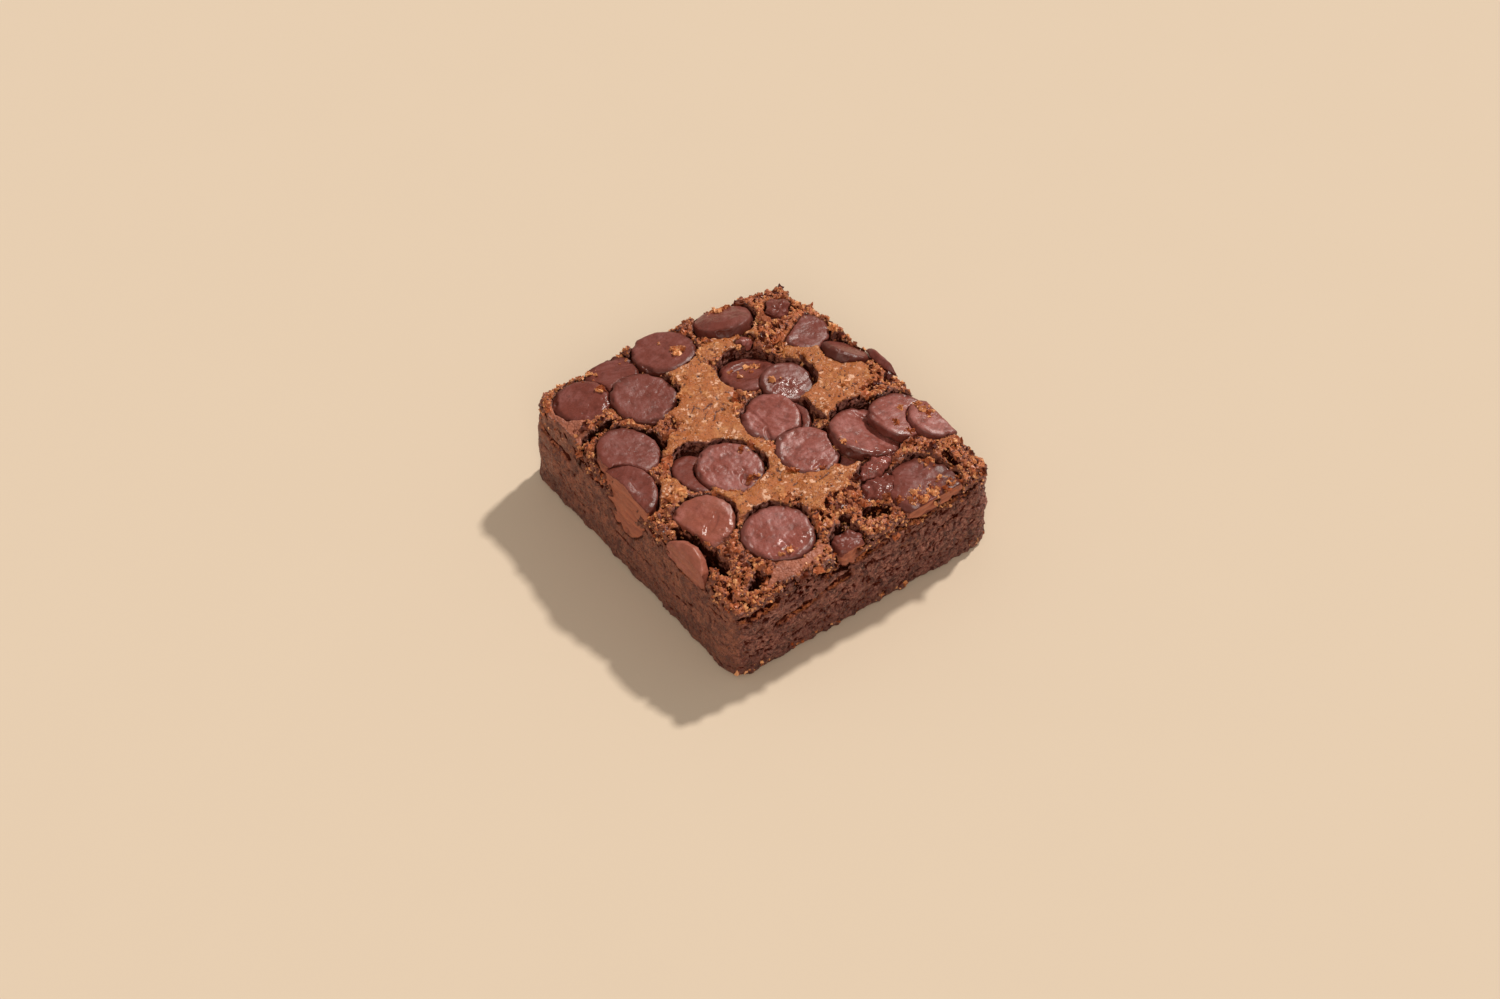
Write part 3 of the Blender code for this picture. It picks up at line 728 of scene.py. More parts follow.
def large_relief(mesh, chocolate, disc_map, sizes):
    """Hollows, crust plates, crevices round the discs and deep cracks, on the coarser grid."""
    seed = sizes.seed
    edges = edges_of(mesh)
    points = averaged(points_of(mesh), edges, 4)
    put_points(mesh, points)
    normals = averaged(normals_of(mesh), edges, 3)
    normals /= np.linalg.norm(normals, axis=1, keepdims=True)
    up, down, wall = facing(normals)
    inset = rim_distance(points)
    height = points[:, 2]
    crust = patch_share(points, CRUST_PATCHES, 1.7 * MM, 0.05) * up * ramp(inset, 0.8 * MM, 2.0 * MM)
    upper = ramp(height, 16.0 * MM, 21.0 * MM)

    # crumb: clods, gaps and a ragged rim
    clods, second, tone = cell_pattern(points + 0.5 * MM * smooth_noise(points, 1.2 * MM, seed)[:, None], 2.3 * MM, seed + 1)
    clod = ramp(second - clods, 0.0, 0.45) * (0.4 + 0.9 * tone)
    rim = ramp(inset, 7.0 * MM, 1.5 * MM) * upper
    fudge = patch_share(points, FUDGE_PATCHES, 1.0 * MM, 0.15)
    loose = np.clip(up * (1.0 - crust) + 0.8 * rim * wall, 0.0, 1.0) * upper * (1.0 - 0.8 * fudge)
    rise = loose * (0.9 * MM * (clod - 0.45) + 0.5 * MM * rough_noise(points, 3.2 * MM, seed + 4, 3))
    rise += crust * sizes.crust_rise * (1.0 + 0.4 * smooth_noise(points, 6.0 * MM, seed + 9))
    torn = wall * wall_roughness(normals)
    rise += 0.75 * MM * rough_noise(points, (6.0 * MM, 6.0 * MM, 4.0 * MM), seed + 12, 3) * torn
    rise -= 0.5 * MM * crack_relief(points, seed + 40) * torn
    first, _, tone = cell_pattern(points, (3.4 * MM, 3.4 * MM, 2.6 * MM), seed + 14)
    rise -= 0.9 * MM * ramp(first, 0.3, 0.12) * (tone > 0.93) * torn
    rise += 0.6 * MM * rough_noise(points, 2.4 * MM, seed + 25, 3) * ramp(height, 3.0 * MM, 1.0 * MM) * wall
    rise -= slot_depth(points) * wall
    points += normals * rise[:, None]
    points[:, 2] -= ellipse_depth(points, HOLLOWS, 1.1 * MM, 0.7) * upper * ramp(up + wall, 0.0, 0.5)

    # the cake keeps out of the discs: it runs in under their upper faces, behind a narrow crevice
    outside = disc_map.read(disc_map.outside, points)
    face = disc_map.read(disc_map.face, points)
    lit_side = ramp(disc_map.read(disc_map.lit_side, points), -0.2, 0.7)
    target = face + (0.45 * crust + 0.5 * lit_side - 0.45) * MM
    lift = np.clip(target - points[:, 2], 0.0, 1.7 * MM) * ramp(outside, 2.0 * MM, 1.0 * MM)
    points[:, 2] += lift * up * ramp(inset, 0.5 * MM, 2.5 * MM)
    crevice = MM * np.clip(0.12 + 0.75 * lit_side + 0.55 * smooth_noise(points, 2.6 * MM, seed + 17), 0.0, 1.0)
    sunk = 1.6 * MM + 0.5 * MM * smooth_noise(points, 3.0 * MM, seed + 19)
    limit = face - sunk + ramp(outside, crevice * 0.8, crevice * 0.8 + 0.35 * MM) * 6.0 * MM
    limited = (outside < MAP_REACH * 0.9) & (points[:, 2] > limit) & (up > 0.02)
    points[limited, 2] = limit[limited]
    spots, outward, gap = nearest_on(chocolate, points, 0.5 * MM)
    inside = np.einsum("ij,ij->i", points - spots, outward) < 0.0
    push = 0.9 * MM * np.where(inside, 1.0, ramp(gap, 0.5 * MM, 0.2 * MM)) * wall * (gap < 0.499 * MM)
    points -= normals * push[:, None]
    points[:, 2] = np.maximum(points[:, 2], SLAB_LOW.z)
    put_points(mesh, points)
    return mesh


def crumb_relief(points, seed, pitted):
    """Height of torn crumb, in units of the tear depth, about -2 to 1."""
    height = 0.75 * rough_noise(points, (1.5 * MM, 1.5 * MM, 1.1 * MM), seed, 4, 0.7)
    first, second, tone = cell_pattern(points, 1.15 * MM, seed + 1)
    height -= 1.3 * ramp(first, 0.4, 0.1) * (tone > 0.82) * pitted
    height += 0.25 * ramp(second - first, 0.0, 0.4)
    return height


def crack_relief(points, seed):
    """Level cracks between the crumb's layers, 0 to 1 deep."""
    wander = points + 0.9 * MM * np.stack(
        [smooth_noise(points, 3.0 * MM, seed + k) for k in range(3)], axis=1)
    first, second, _ = cell_pattern(wander, (9.0 * MM, 9.0 * MM, 3.4 * MM), seed + 5)
    here = ramp(smooth_noise(points, 9.0 * MM, seed + 8), -0.05, 0.3)
    return ramp(second - first, 0.09, 0.0) * here


def crust_relief(points, seed):
    """Height of the crust's blisters and cracks, in units of the crust relief."""
    height = 0.6 * rough_noise(points, 2.2 * MM, seed, 4, 0.62) + 1.3 * smooth_noise(points, 4.0 * MM, seed + 6)
    first, second, tone = cell_pattern(points, 1.0 * MM, seed + 1)
    height -= 2.6 * ramp(first, 0.4, 0.1) * (tone > 0.86)
    wander = points + 0.5 * MM * smooth_noise(points, 1.4 * MM, seed + 2)[:, None]
    first, second, _ = cell_pattern(wander, 4.2 * MM, seed + 3)
    height -= 1.3 * ramp(second - first, 0.05, 0.0) * ramp(smooth_noise(points, 7.0 * MM, seed + 4), 0.0, 0.3)
    return height


def slab_surface(chocolate, disc_map, sizes):
    """The slab with its tears, crust and crevices, as one closed mesh with its masks."""
    seed = sizes.seed
    mesh = regridded(slab_without_pockets(chocolate), 1.35 * sizes.slab_grid)
    mesh = regridded(large_relief(mesh, chocolate, disc_map, sizes), sizes.slab_grid)
    edges = edges_of(mesh)
    points = averaged(points_of(mesh), edges, 2)
    put_points(mesh, points)
    broad = averaged(normals_of(mesh), edges, 12)
    broad /= np.linalg.norm(broad, axis=1, keepdims=True)
    normals = averaged(normals_of(mesh), edges, 1)
    normals /= np.linalg.norm(normals, axis=1, keepdims=True)
    up, down, wall = facing(broad)
    inset = rim_distance(points)
    upper = ramp(points[:, 2], 16.0 * MM, 21.0 * MM)
    crust = patch_share(points, CRUST_PATCHES, 1.7 * MM, 0.05) * ramp(inset, 0.8 * MM, 2.0 * MM) * up
    crust *= ramp(points[:, 2], 23.6 * MM, 24.6 * MM)
    _, _, gap = nearest_on(chocolate, points, 3.0 * MM)
    beside = ramp(gap, 0.2 * MM, 0.6 * MM)
    rim = np.clip(ramp(inset, 6.0 * MM, 1.0 * MM) * upper, 0.0, 1.0)

    fudge = patch_share(points, FUDGE_PATCHES, 1.0 * MM, 0.15) * (1.0 - crust) * upper
    torn = crumb_relief(points, seed + 70, 1.0 - 0.75 * wall * ramp(points[:, 2], 21.0 * MM, 17.0 * MM))
    torn *= 1.0 - 0.75 * fudge
    amount = wall * wall_roughness(broad) + up * (1.0 - crust) + 0.4 * rim + 0.12 * down
    relief = sizes.tear_depth * torn * np.clip(amount, 0.0, 1.2) * (0.25 + 0.75 * beside)
    relief += sizes.crust_relief * crust_relief(points, seed + 60) * crust
    before = points.copy()
    points = points + normals * relief[:, None]
    points[:, 2] = np.maximum(points[:, 2], SLAB_LOW.z)
    put_points(mesh, points)

    smoothed = averaged(points, edges, 16)
    cavity = np.einsum("ij,ij->i", points - smoothed, broad) / (0.25 * MM)
    wide = averaged(smoothed, edges, 60)
    deep = np.einsum("ij,ij->i", smoothed - wide, broad) / (0.6 * MM)
    put_values(mesh, "relief", np.clip(cavity, -1.0, 1.0))
    put_values(mesh, "deep", np.clip(deep, -1.0, 1.0))
    put_values(mesh, "crust", crust)
    put_values(mesh, "gap", gap / MM)
    put_values(mesh, "rim", np.clip(rim + up * (1.0 - crust) * upper, 0.0, 1.0))
    put_values(mesh, "wall", wall)
    # Painted shade: the hollows, the slots and the narrow crevices beside the discs are marked for painting near-black.
    hollow = ellipse_depth(points, HOLLOWS, 1.1 * MM, 0.7) * upper + slot_depth(points) * wall
    put_values(mesh, "hollow", np.maximum(ramp(hollow, 0.5 * MM, 1.8 * MM), ramp(gap, 0.7 * MM, 0.3 * MM) * (1.0 - 0.7 * wall)))
    put_values(mesh, "fudge", fudge)
    put_values(mesh, "smooth_side", ramp(-broad[:, 0], 0.3, 0.8) * wall)
    return mesh


def cut_layer(mesh, low, high, name):
    """The part of a closed mesh between two levels, closed again where it was cut."""
    normals = normals_of(mesh)
    if mesh.attributes.get("surface_normal") is None:
        stored = mesh.attributes.new("surface_normal", "FLOAT_VECTOR", "POINT")
        stored.data.foreach_set("vector", normals.astype(np.float32).ravel())
    bm = bmesh.new()
    bm.from_mesh(mesh)
    for level, side in ((low, -1.0), (high, 1.0)):
        if level is None:
            continue
        geometry = bm.verts[:] + bm.edges[:] + bm.faces[:]
        cut = bmesh.ops.bisect_plane(bm, geom=geometry, dist=1e-7, plane_co=(0.0, 0.0, level),
                                     plane_no=(0.0, 0.0, side), clear_outer=True)
        border = [edge for edge in cut["geom_cut"] if isinstance(edge, bmesh.types.BMEdge)]
        bmesh.ops.triangle_fill(bm, edges=border, use_beauty=True, normal=(0.0, 0.0, side))
        left = [edge for edge in bm.edges if len(edge.link_faces) == 1]
        if left:
            filled = bmesh.ops.holes_fill(bm, edges=left, sides=0)
            bmesh.ops.triangulate(bm, faces=filled["faces"])
    loose = [vertex for vertex in bm.verts if not vertex.link_faces]
    bmesh.ops.delete(bm, geom=loose, context="VERTS")
    layer = bpy.data.meshes.new(name)
    bm.to_mesh(layer)
    bm.free()
    layer.shade_smooth()
    stored = np.empty(len(layer.vertices) * 3, dtype=np.float32)
    layer.attributes["surface_normal"].data.foreach_get("vector", stored)
    layer.normals_split_custom_set_from_vertices(stored.reshape(-1, 3).tolist())
    layer.attributes.remove(layer.attributes["surface_normal"])
    return layer


# ---------------------------------------------------------------- shader nodes
def socket(tree, source, target):
    tree.links.new(source, target)


def shader_node(tree, kind, **values):
    """Add a node and set its properties, or its inputs where the name is an input's."""
    node = tree.nodes.new(kind)
    for name, value in values.items():
        if hasattr(node, name):
            setattr(node, name, value)
        else:
            put_input(tree, node.inputs[name.replace("_", " ")], value)
    return node


def put_input(tree, target, value):
    if isinstance(value, bpy.types.NodeSocket):
        tree.links.new(value, target)
    else:
        target.default_value = value


def noise_value(tree, place, size, detail=3.0, rough=0.6):
    """Noise from 0 to 1 whose features are this wide."""
    node = tree.nodes.new("ShaderNodeTexNoise")
    put_input(tree, node.inputs["Vector"], place)
    node.inputs["Scale"].default_value = 1.0 / size
    node.inputs["Detail"].default_value = detail
    node.inputs["Roughness"].default_value = rough
    return node.outputs["Fac"]


def math_value(tree, operation, first, second=0.5, clamp=False):
    node = tree.nodes.new("ShaderNodeMath")
    node.operation = operation
    node.use_clamp = clamp
    put_input(tree, node.inputs[0], first)
    put_input(tree, node.inputs[1], second)
    return node.outputs[0]


def range_value(tree, value, low, high, new_low=0.0, new_high=1.0):
    node = tree.nodes.new("ShaderNodeMapRange")
    node.interpolation_type = "SMOOTHSTEP"
    put_input(tree, node.inputs["Value"], value)
    node.inputs["From Min"].default_value = low
    node.inputs["From Max"].default_value = high
    node.inputs["To Min"].default_value = new_low
    node.inputs["To Max"].default_value = new_high
    return node.outputs["Result"]


def mixed_colour(tree, share, first, second, blend="MIX"):
    node = tree.nodes.new("ShaderNodeMix")
    node.data_type = "RGBA"
    node.blend_type = blend
    put_input(tree, node.inputs["Factor"], share)
    put_input(tree, node.inputs[6], first)
    put_input(tree, node.inputs[7], second)
    return node.outputs[2]


def mixed_value(tree, share, first, second):
    node = tree.nodes.new("ShaderNodeMix")
    put_input(tree, node.inputs[0], share)
    put_input(tree, node.inputs[2], first)
    put_input(tree, node.inputs[3], second)
    return node.outputs[0]


def own_value(tree, name):
    node = tree.nodes.new("ShaderNodeAttribute")
    node.attribute_name = name
    return node.outputs["Fac"]


def object_place(tree, stretch=None, turn=None):
    """Object coordinates, optionally squeezed per axis and turned."""
    place = tree.nodes.new("ShaderNodeTexCoord").outputs["Object"]
    if stretch is None and turn is None:
        return place
    mapping = tree.nodes.new("ShaderNodeMapping")
    put_input(tree, mapping.inputs["Vector"], place)
    if stretch is not None:
        mapping.inputs["Scale"].default_value = stretch
    if turn is not None:
        mapping.inputs["Rotation"].default_value = turn
    return mapping.outputs["Vector"]


def new_material(name):
    material = bpy.data.materials.new(name)
    material.use_nodes = True
    tree = material.node_tree
    shader = tree.nodes["Principled BSDF"] if "Principled BSDF" in tree.nodes else None
    return material, tree, shader


def bumped(tree, height, depth, strength=1.0, below=None):
    node = tree.nodes.new("ShaderNodeBump")
    node.inputs["Strength"].default_value = strength
    node.inputs["Distance"].default_value = depth
    put_input(tree, node.inputs["Height"], height)
    if below is not None:
        put_input(tree, node.inputs["Normal"], below)
    return node.outputs["Normal"]


def grain_group():
    """Uneven grains over a surface: a number for each grain and its height."""
    tree = bpy.data.node_groups.new("grains", "ShaderNodeTree")
    tree.interface.new_socket("Place", in_out="INPUT", socket_type="NodeSocketVector")
    tree.interface.new_socket("Fineness", in_out="INPUT", socket_type="NodeSocketFloat")
    tree.interface.new_socket("Number", in_out="OUTPUT", socket_type="NodeSocketFloat")
    tree.interface.new_socket("Height", in_out="OUTPUT", socket_type="NodeSocketFloat")
    start = tree.nodes.new("NodeGroupInput").outputs
    end = tree.nodes.new("NodeGroupOutput").inputs
    stray = tree.nodes.new("ShaderNodeTexNoise")
    put_input(tree, stray.inputs["Vector"], start["Place"])
    put_input(tree, stray.inputs["Scale"], start["Fineness"])
    stray.inputs["Detail"].default_value = 3.0
    reach = math_value(tree, "DIVIDE", 1.1, start["Fineness"])
    shift = tree.nodes.new("ShaderNodeVectorMath")
    shift.operation = "SCALE"
    put_input(tree, shift.inputs[0], stray.outputs["Color"])
    put_input(tree, shift.inputs["Scale"], reach)
    moved = tree.nodes.new("ShaderNodeVectorMath")
    put_input(tree, moved.inputs[0], start["Place"])
    put_input(tree, moved.inputs[1], shift.outputs[0])
    cells = tree.nodes.new("ShaderNodeTexVoronoi")
    put_input(tree, cells.inputs["Vector"], moved.outputs[0])
    put_input(tree, cells.inputs["Scale"], start["Fineness"])
    split = tree.nodes.new("ShaderNodeSeparateColor")
    put_input(tree, split.inputs[0], cells.outputs["Color"])
    put_input(tree, end["Number"], split.outputs[0])
    put_input(tree, end["Height"], range_value(tree, cells.outputs["Distance"], 0.75, 0.0))
    return tree


def grains(tree, place, size):
    node = tree.nodes.new("ShaderNodeGroup")
    node.node_tree = bpy.data.node_groups.get("grains") or grain_group()
    put_input(tree, node.inputs["Place"], place)
    node.inputs["Fineness"].default_value = 1.0 / size
    return node.outputs["Number"], node.outputs["Height"]


def cake_material(colours):
    """Fudgy crumb with a golden crust where the mask says so."""
    material, tree, shader = new_material("cake")
    place = object_place(tree)
    relief = own_value(tree, "relief")
    crust = own_value(tree, "crust")
    deep = own_value(tree, "deep")
    wall = own_value(tree, "wall")

    fine = noise_value(tree, place, 0.7 * MM, 5.0, 0.72)
    broad = noise_value(tree, place, 6.0 * MM, 3.0)
    layers = noise_value(tree, object_place(tree, (1.0, 1.0, 3.2)), 2.6 * MM, 5.0, 0.7)
    # Painted shade: a light value from the relief and the broad hollows, so that the crumb's cavities are painted
    # darker.
    shade = math_value(tree, "ADD", range_value(tree, relief, -0.8, 0.5, -0.45, 0.25), range_value(tree, deep, -0.8, 0.3, -0.4, 0.06))
    grainy = mixed_value(tree, wall, fine, mixed_value(tree, 0.55, fine, layers))
    light = math_value(tree, "ADD", shade, grainy, clamp=True)
    number, grain = grains(tree, place, 0.6 * MM)
    coarse_number, coarse_grain = grains(tree, place, 1.3 * MM)
    mixed = math_value(tree, "ADD", math_value(tree, "MULTIPLY", number, 0.65), math_value(tree, "MULTIPLY", coarse_number, 0.35))
    loose = mixed_colour(tree, range_value(tree, mixed, 0.2, 0.48), tuple(colours.dark_crumb_and_shade), tuple(colours.crumb))
    loose = mixed_colour(tree, range_value(tree, mixed, 0.62, 0.78), loose, tuple(colours.toasted))
    fudge = own_value(tree, "fudge")
    smooth_side = own_value(tree, "smooth_side")
    cut = mixed_colour(tree, smooth_side, tuple(colours.torn_crumb), tuple(colours.cut_crumb))
    blotches = noise_value(tree, place, 2.4 * MM, 5.0, 0.7)
    spots = mixed_value(tree, smooth_side, range_value(tree, blotches, 0.56, 0.38, 0.0, 0.95),
                        range_value(tree, blotches, 0.58, 0.38, 0.0, 0.75))
    pinholes = range_value(tree, noise_value(tree, place, 1.1 * MM, 2.0), 0.38, 0.32, 0.0, 0.95)
    spots = math_value(tree, "MAXIMUM", spots, math_value(tree, "MULTIPLY", pinholes, smooth_side))
    fine_spots = noise_value(tree, place, 0.9 * MM, 5.0, 0.72)
    dense = mixed_colour(tree, spots, cut, tuple(colours.dark_crumb_and_shade))
    dark_spots = math_value(tree, "MULTIPLY", range_value(tree, fine_spots, 0.47, 0.37, 0.0, 0.9),
                            mixed_value(tree, smooth_side, 1.0, 0.35))
    dense = mixed_colour(tree, dark_spots, dense, tuple(colours.dark_crumb_and_shade))
    # Painted highlight: pale sparkle painted on the fine spots of the torn sides.
    painted_sparkle_spots = math_value(tree, "MULTIPLY", range_value(tree, fine_spots, 0.48, 0.6, 0.0, 0.95),
                              math_value(tree, "SUBTRACT", 1.0, smooth_side))
    dense = mixed_colour(tree, painted_sparkle_spots, dense, tuple(colours.painted_sparkle))
    golden_bits = math_value(tree, "MULTIPLY", range_value(tree, number, 0.86, 0.9), range_value(tree, broad, 0.5, 0.6, 0.0, 0.7))
    dense = mixed_colour(tree, golden_bits, dense, tuple(colours.toasted))
    loose = mixed_colour(tree, fudge, loose, tuple(colours.smear))
    lit = mixed_colour(tree, wall, loose, dense)
    height = tree.nodes.new("ShaderNodeSeparateXYZ")
    put_input(tree, height.inputs[0], place)
    side = math_value(tree, "MULTIPLY", wall, range_value(tree, height.outputs[2], 20.0 * MM, 16.0 * MM))
    light = math_value(tree, "ADD", light, math_value(tree, "MULTIPLY", side, 0.2))
    # Painted shade: where the light value is low, the crumb is painted with the dark crumb colour.
    crumb = mixed_colour(tree, range_value(tree, light, 0.1, 0.55), tuple(colours.dark_crumb_and_shade), lit)
    # Painted shade: low spots in the relief are painted with the near-black gap colour, less so low on the sides.
    painted_cavity_shade = math_value(tree, "MAXIMUM", range_value(tree, relief, 0.0, -0.6), range_value(tree, deep, -0.1, -0.8))
    calm = mixed_value(tree, side, 0.95, 0.25)
    painted_cavity_shade = math_value(tree, "MULTIPLY", painted_cavity_shade, calm)
    crumb = mixed_colour(tree, painted_cavity_shade, crumb, tuple(colours.shade))
    moist = range_value(tree, broad, 0.4, 0.65, 0.0, 0.45)
    crumb = mixed_colour(tree, moist, crumb, tuple(colours.moist))

    bubbles = noise_value(tree, place, 1.7 * MM, 6.0, 0.68)
    golden = mixed_colour(tree, range_value(tree, bubbles, 0.44, 0.64), tuple(colours.crust), tuple(colours.crust_pale))
    patches = noise_value(tree, place, 4.0 * MM, 3.0)
    golden = mixed_colour(tree, range_value(tree, patches, 0.42, 0.58, 0.85, 0.0), golden, tuple(colours.toasted))
    # Painted shade: the crust's low spots in the relief take the pit colour.
    golden = mixed_colour(tree, range_value(tree, relief, -0.12, -0.5), golden, tuple(colours.pits_and_shade))
    specks = noise_value(tree, place, 0.45 * MM, 3.0, 0.7)
    golden = mixed_colour(tree, range_value(tree, specks, 0.41, 0.36), golden, tuple(colours.pits_and_shade))
    # Pale flecks in clusters: partly the crust's pale skin, partly painted glints.
    clusters = noise_value(tree, place, 3.0 * MM, 2.0)
    flecks_and_glints = math_value(tree, "MULTIPLY", range_value(tree, number, 0.7, 0.76), range_value(tree, clusters, 0.5, 0.6))
    golden = mixed_colour(tree, math_value(tree, "MULTIPLY", flecks_and_glints, 0.95), golden, tuple(colours.fleck_and_glint))
    colour = mixed_colour(tree, range_value(tree, crust, 0.3, 0.7), crumb, golden)
    low = range_value(tree, height.outputs[2], 0.0, 12.0 * MM, 0.45, 0.0)
    colour = mixed_colour(tree, low, colour, tuple(colours.dark_crumb_and_shade))
    # Painted shade: hollows, slots and crevices beside the discs are painted with the near-black gap colour.
    hollow = own_value(tree, "hollow")
    colour = mixed_colour(tree, math_value(tree, "MULTIPLY", hollow, 0.95), colour, tuple(colours.shade))
    put_input(tree, shader.inputs["Base Color"], colour)

    glints = noise_value(tree, place, 1.6 * MM, 4.0, 0.65)
    crust_gloss = range_value(tree, glints, 0.42, 0.62, 0.48, 0.22)
    crumb_gloss = range_value(tree, glints, 0.4, 0.62, 0.65, 0.3)
    put_input(tree, shader.inputs["Roughness"], mixed_value(tree, crust, crumb_gloss, crust_gloss))
    shine = math_value(tree, "ADD", 0.5, math_value(tree, "MULTIPLY", wall, 0.35))
    shine = math_value(tree, "MULTIPLY", shine, range_value(tree, light, 0.15, 0.55))
    shine = math_value(tree, "MULTIPLY", shine, math_value(tree, "SUBTRACT", 1.0, painted_cavity_shade))
    shine = mixed_value(tree, crust, shine, 0.55)
    put_input(tree, shader.inputs["Specular IOR Level"],
              math_value(tree, "MULTIPLY", shine, math_value(tree, "SUBTRACT", 1.0, hollow)))
    grit = noise_value(tree, place, 0.3 * MM, 4.0, 0.7)
    rough_side = math_value(tree, "MULTIPLY", wall, mixed_value(tree, smooth_side, 1.0, 0.55))
    knobs = math_value(tree, "MULTIPLY", noise_value(tree, place, 1.3 * MM, 5.0, 0.68), rough_side)
    normal = bumped(tree, knobs, 2.2 * MM, 1.0)
    coarseness = mixed_value(tree, crust, 1.0, 0.25)
    normal = bumped(tree, math_value(tree, "MULTIPLY", coarse_grain, coarseness), 0.3 * MM, 0.6, normal)
    normal = bumped(tree, math_value(tree, "MULTIPLY", grain, coarseness), 0.22 * MM, 0.8, normal)
    blisters = math_value(tree, "MULTIPLY", bubbles, crust)
    normal = bumped(tree, blisters, 0.9 * MM, 0.8, normal)
    put_input(tree, shader.inputs["Normal"], bumped(tree, grit, 0.1 * MM, 0.7, normal))
    return material


def chocolate_material(colours):
    """Satin dark chocolate with streaks and faint bloom."""
    material, tree, shader = new_material("chocolate")
    place = object_place(tree)
    tone = own_value(tree, "tone")
    spin = tree.nodes.new("ShaderNodeVectorRotate")
    spin.rotation_type = "Z_AXIS"
    put_input(tree, spin.inputs["Vector"], place)
    put_input(tree, spin.inputs["Angle"], math_value(tree, "MULTIPLY", tone, 6.28))
    drawn = tree.nodes.new("ShaderNodeMapping")
    put_input(tree, drawn.inputs["Vector"], spin.outputs[0])
    drawn.inputs["Scale"].default_value = (0.22, 1.0, 0.6)
    streaks = noise_value(tree, drawn.outputs[0], 0.9 * MM, 4.0, 0.6)
    clouds = noise_value(tree, place, 4.5 * MM, 3.0)
    bloom = math_value(tree, "MULTIPLY", range_value(tree, streaks, 0.35, 0.65), range_value(tree, clouds, 0.4, 0.6))
    colour = mixed_colour(tree, bloom, tuple(colours.chocolate), tuple(colours.bloom))
    worn = noise_value(tree, place, 2.2 * MM, 5.0, 0.7)
    colour = mixed_colour(tree, range_value(tree, worn, 0.52, 0.34, 0.0, 0.42), colour, tuple(colours.chocolate_dark_and_shade))
    frost = noise_value(tree, place, 0.32 * MM, 3.0, 0.7)
    colour = mixed_colour(tree, range_value(tree, frost, 0.5, 0.36, 0.0, 0.4), colour, tuple(colours.chocolate_dark_and_shade))
    # Painted shade: pieces listed as shaded are painted towards dark chocolate.
    dark = math_value(tree, "MULTIPLY", own_value(tree, "dark"), 0.5)
    colour = mixed_colour(tree, dark, colour, tuple(colours.chocolate_dark_and_shade))
    # Painted shade: the discs' outer edges are painted towards dark chocolate.
    edge = own_value(tree, "edge")
    colour = mixed_colour(tree, math_value(tree, "MULTIPLY", edge, 0.7), colour, tuple(colours.chocolate_dark_and_shade))
    cut = own_value(tree, "cut")
    colour = mixed_colour(tree, math_value(tree, "MULTIPLY", cut, 0.95, clamp=True), colour, tuple(colours.smear))
    put_input(tree, shader.inputs["Base Color"], colour)
    gloss = math_value(tree, "ADD", range_value(tree, clouds, 0.35, 0.65, 0.27, 0.4), math_value(tree, "MULTIPLY", cut, 0.15))
    put_input(tree, shader.inputs["Roughness"], mixed_value(tree, own_value(tree, "wet"), gloss, 0.17))
    put_input(tree, shader.inputs["Specular IOR Level"], range_value(tree, dark, 0.06, 0.5, 0.5, 0.3))
    ripple = noise_value(tree, place, 0.45 * MM, 4.0, 0.65)
    normal = bumped(tree, clouds, 0.5 * MM, 0.5)
    normal = bumped(tree, worn, 0.12 * MM, 0.5, normal)
    normal = bumped(tree, frost, 0.06 * MM, 0.7, normal)
    normal = bumped(tree, streaks, 0.06 * MM, 0.7, normal)
    put_input(tree, shader.inputs["Normal"], bumped(tree, ripple, 0.05 * MM, 0.6, normal))
    return material


# ---------------------------------------------------------------- scattered crumbs
def tree_socket(tree, name, kind, default=None, direction="INPUT"):
    item = tree.interface.new_socket(name=name, in_out=direction, socket_type=kind)
    if default is not None:
        item.default_value = default
    return item


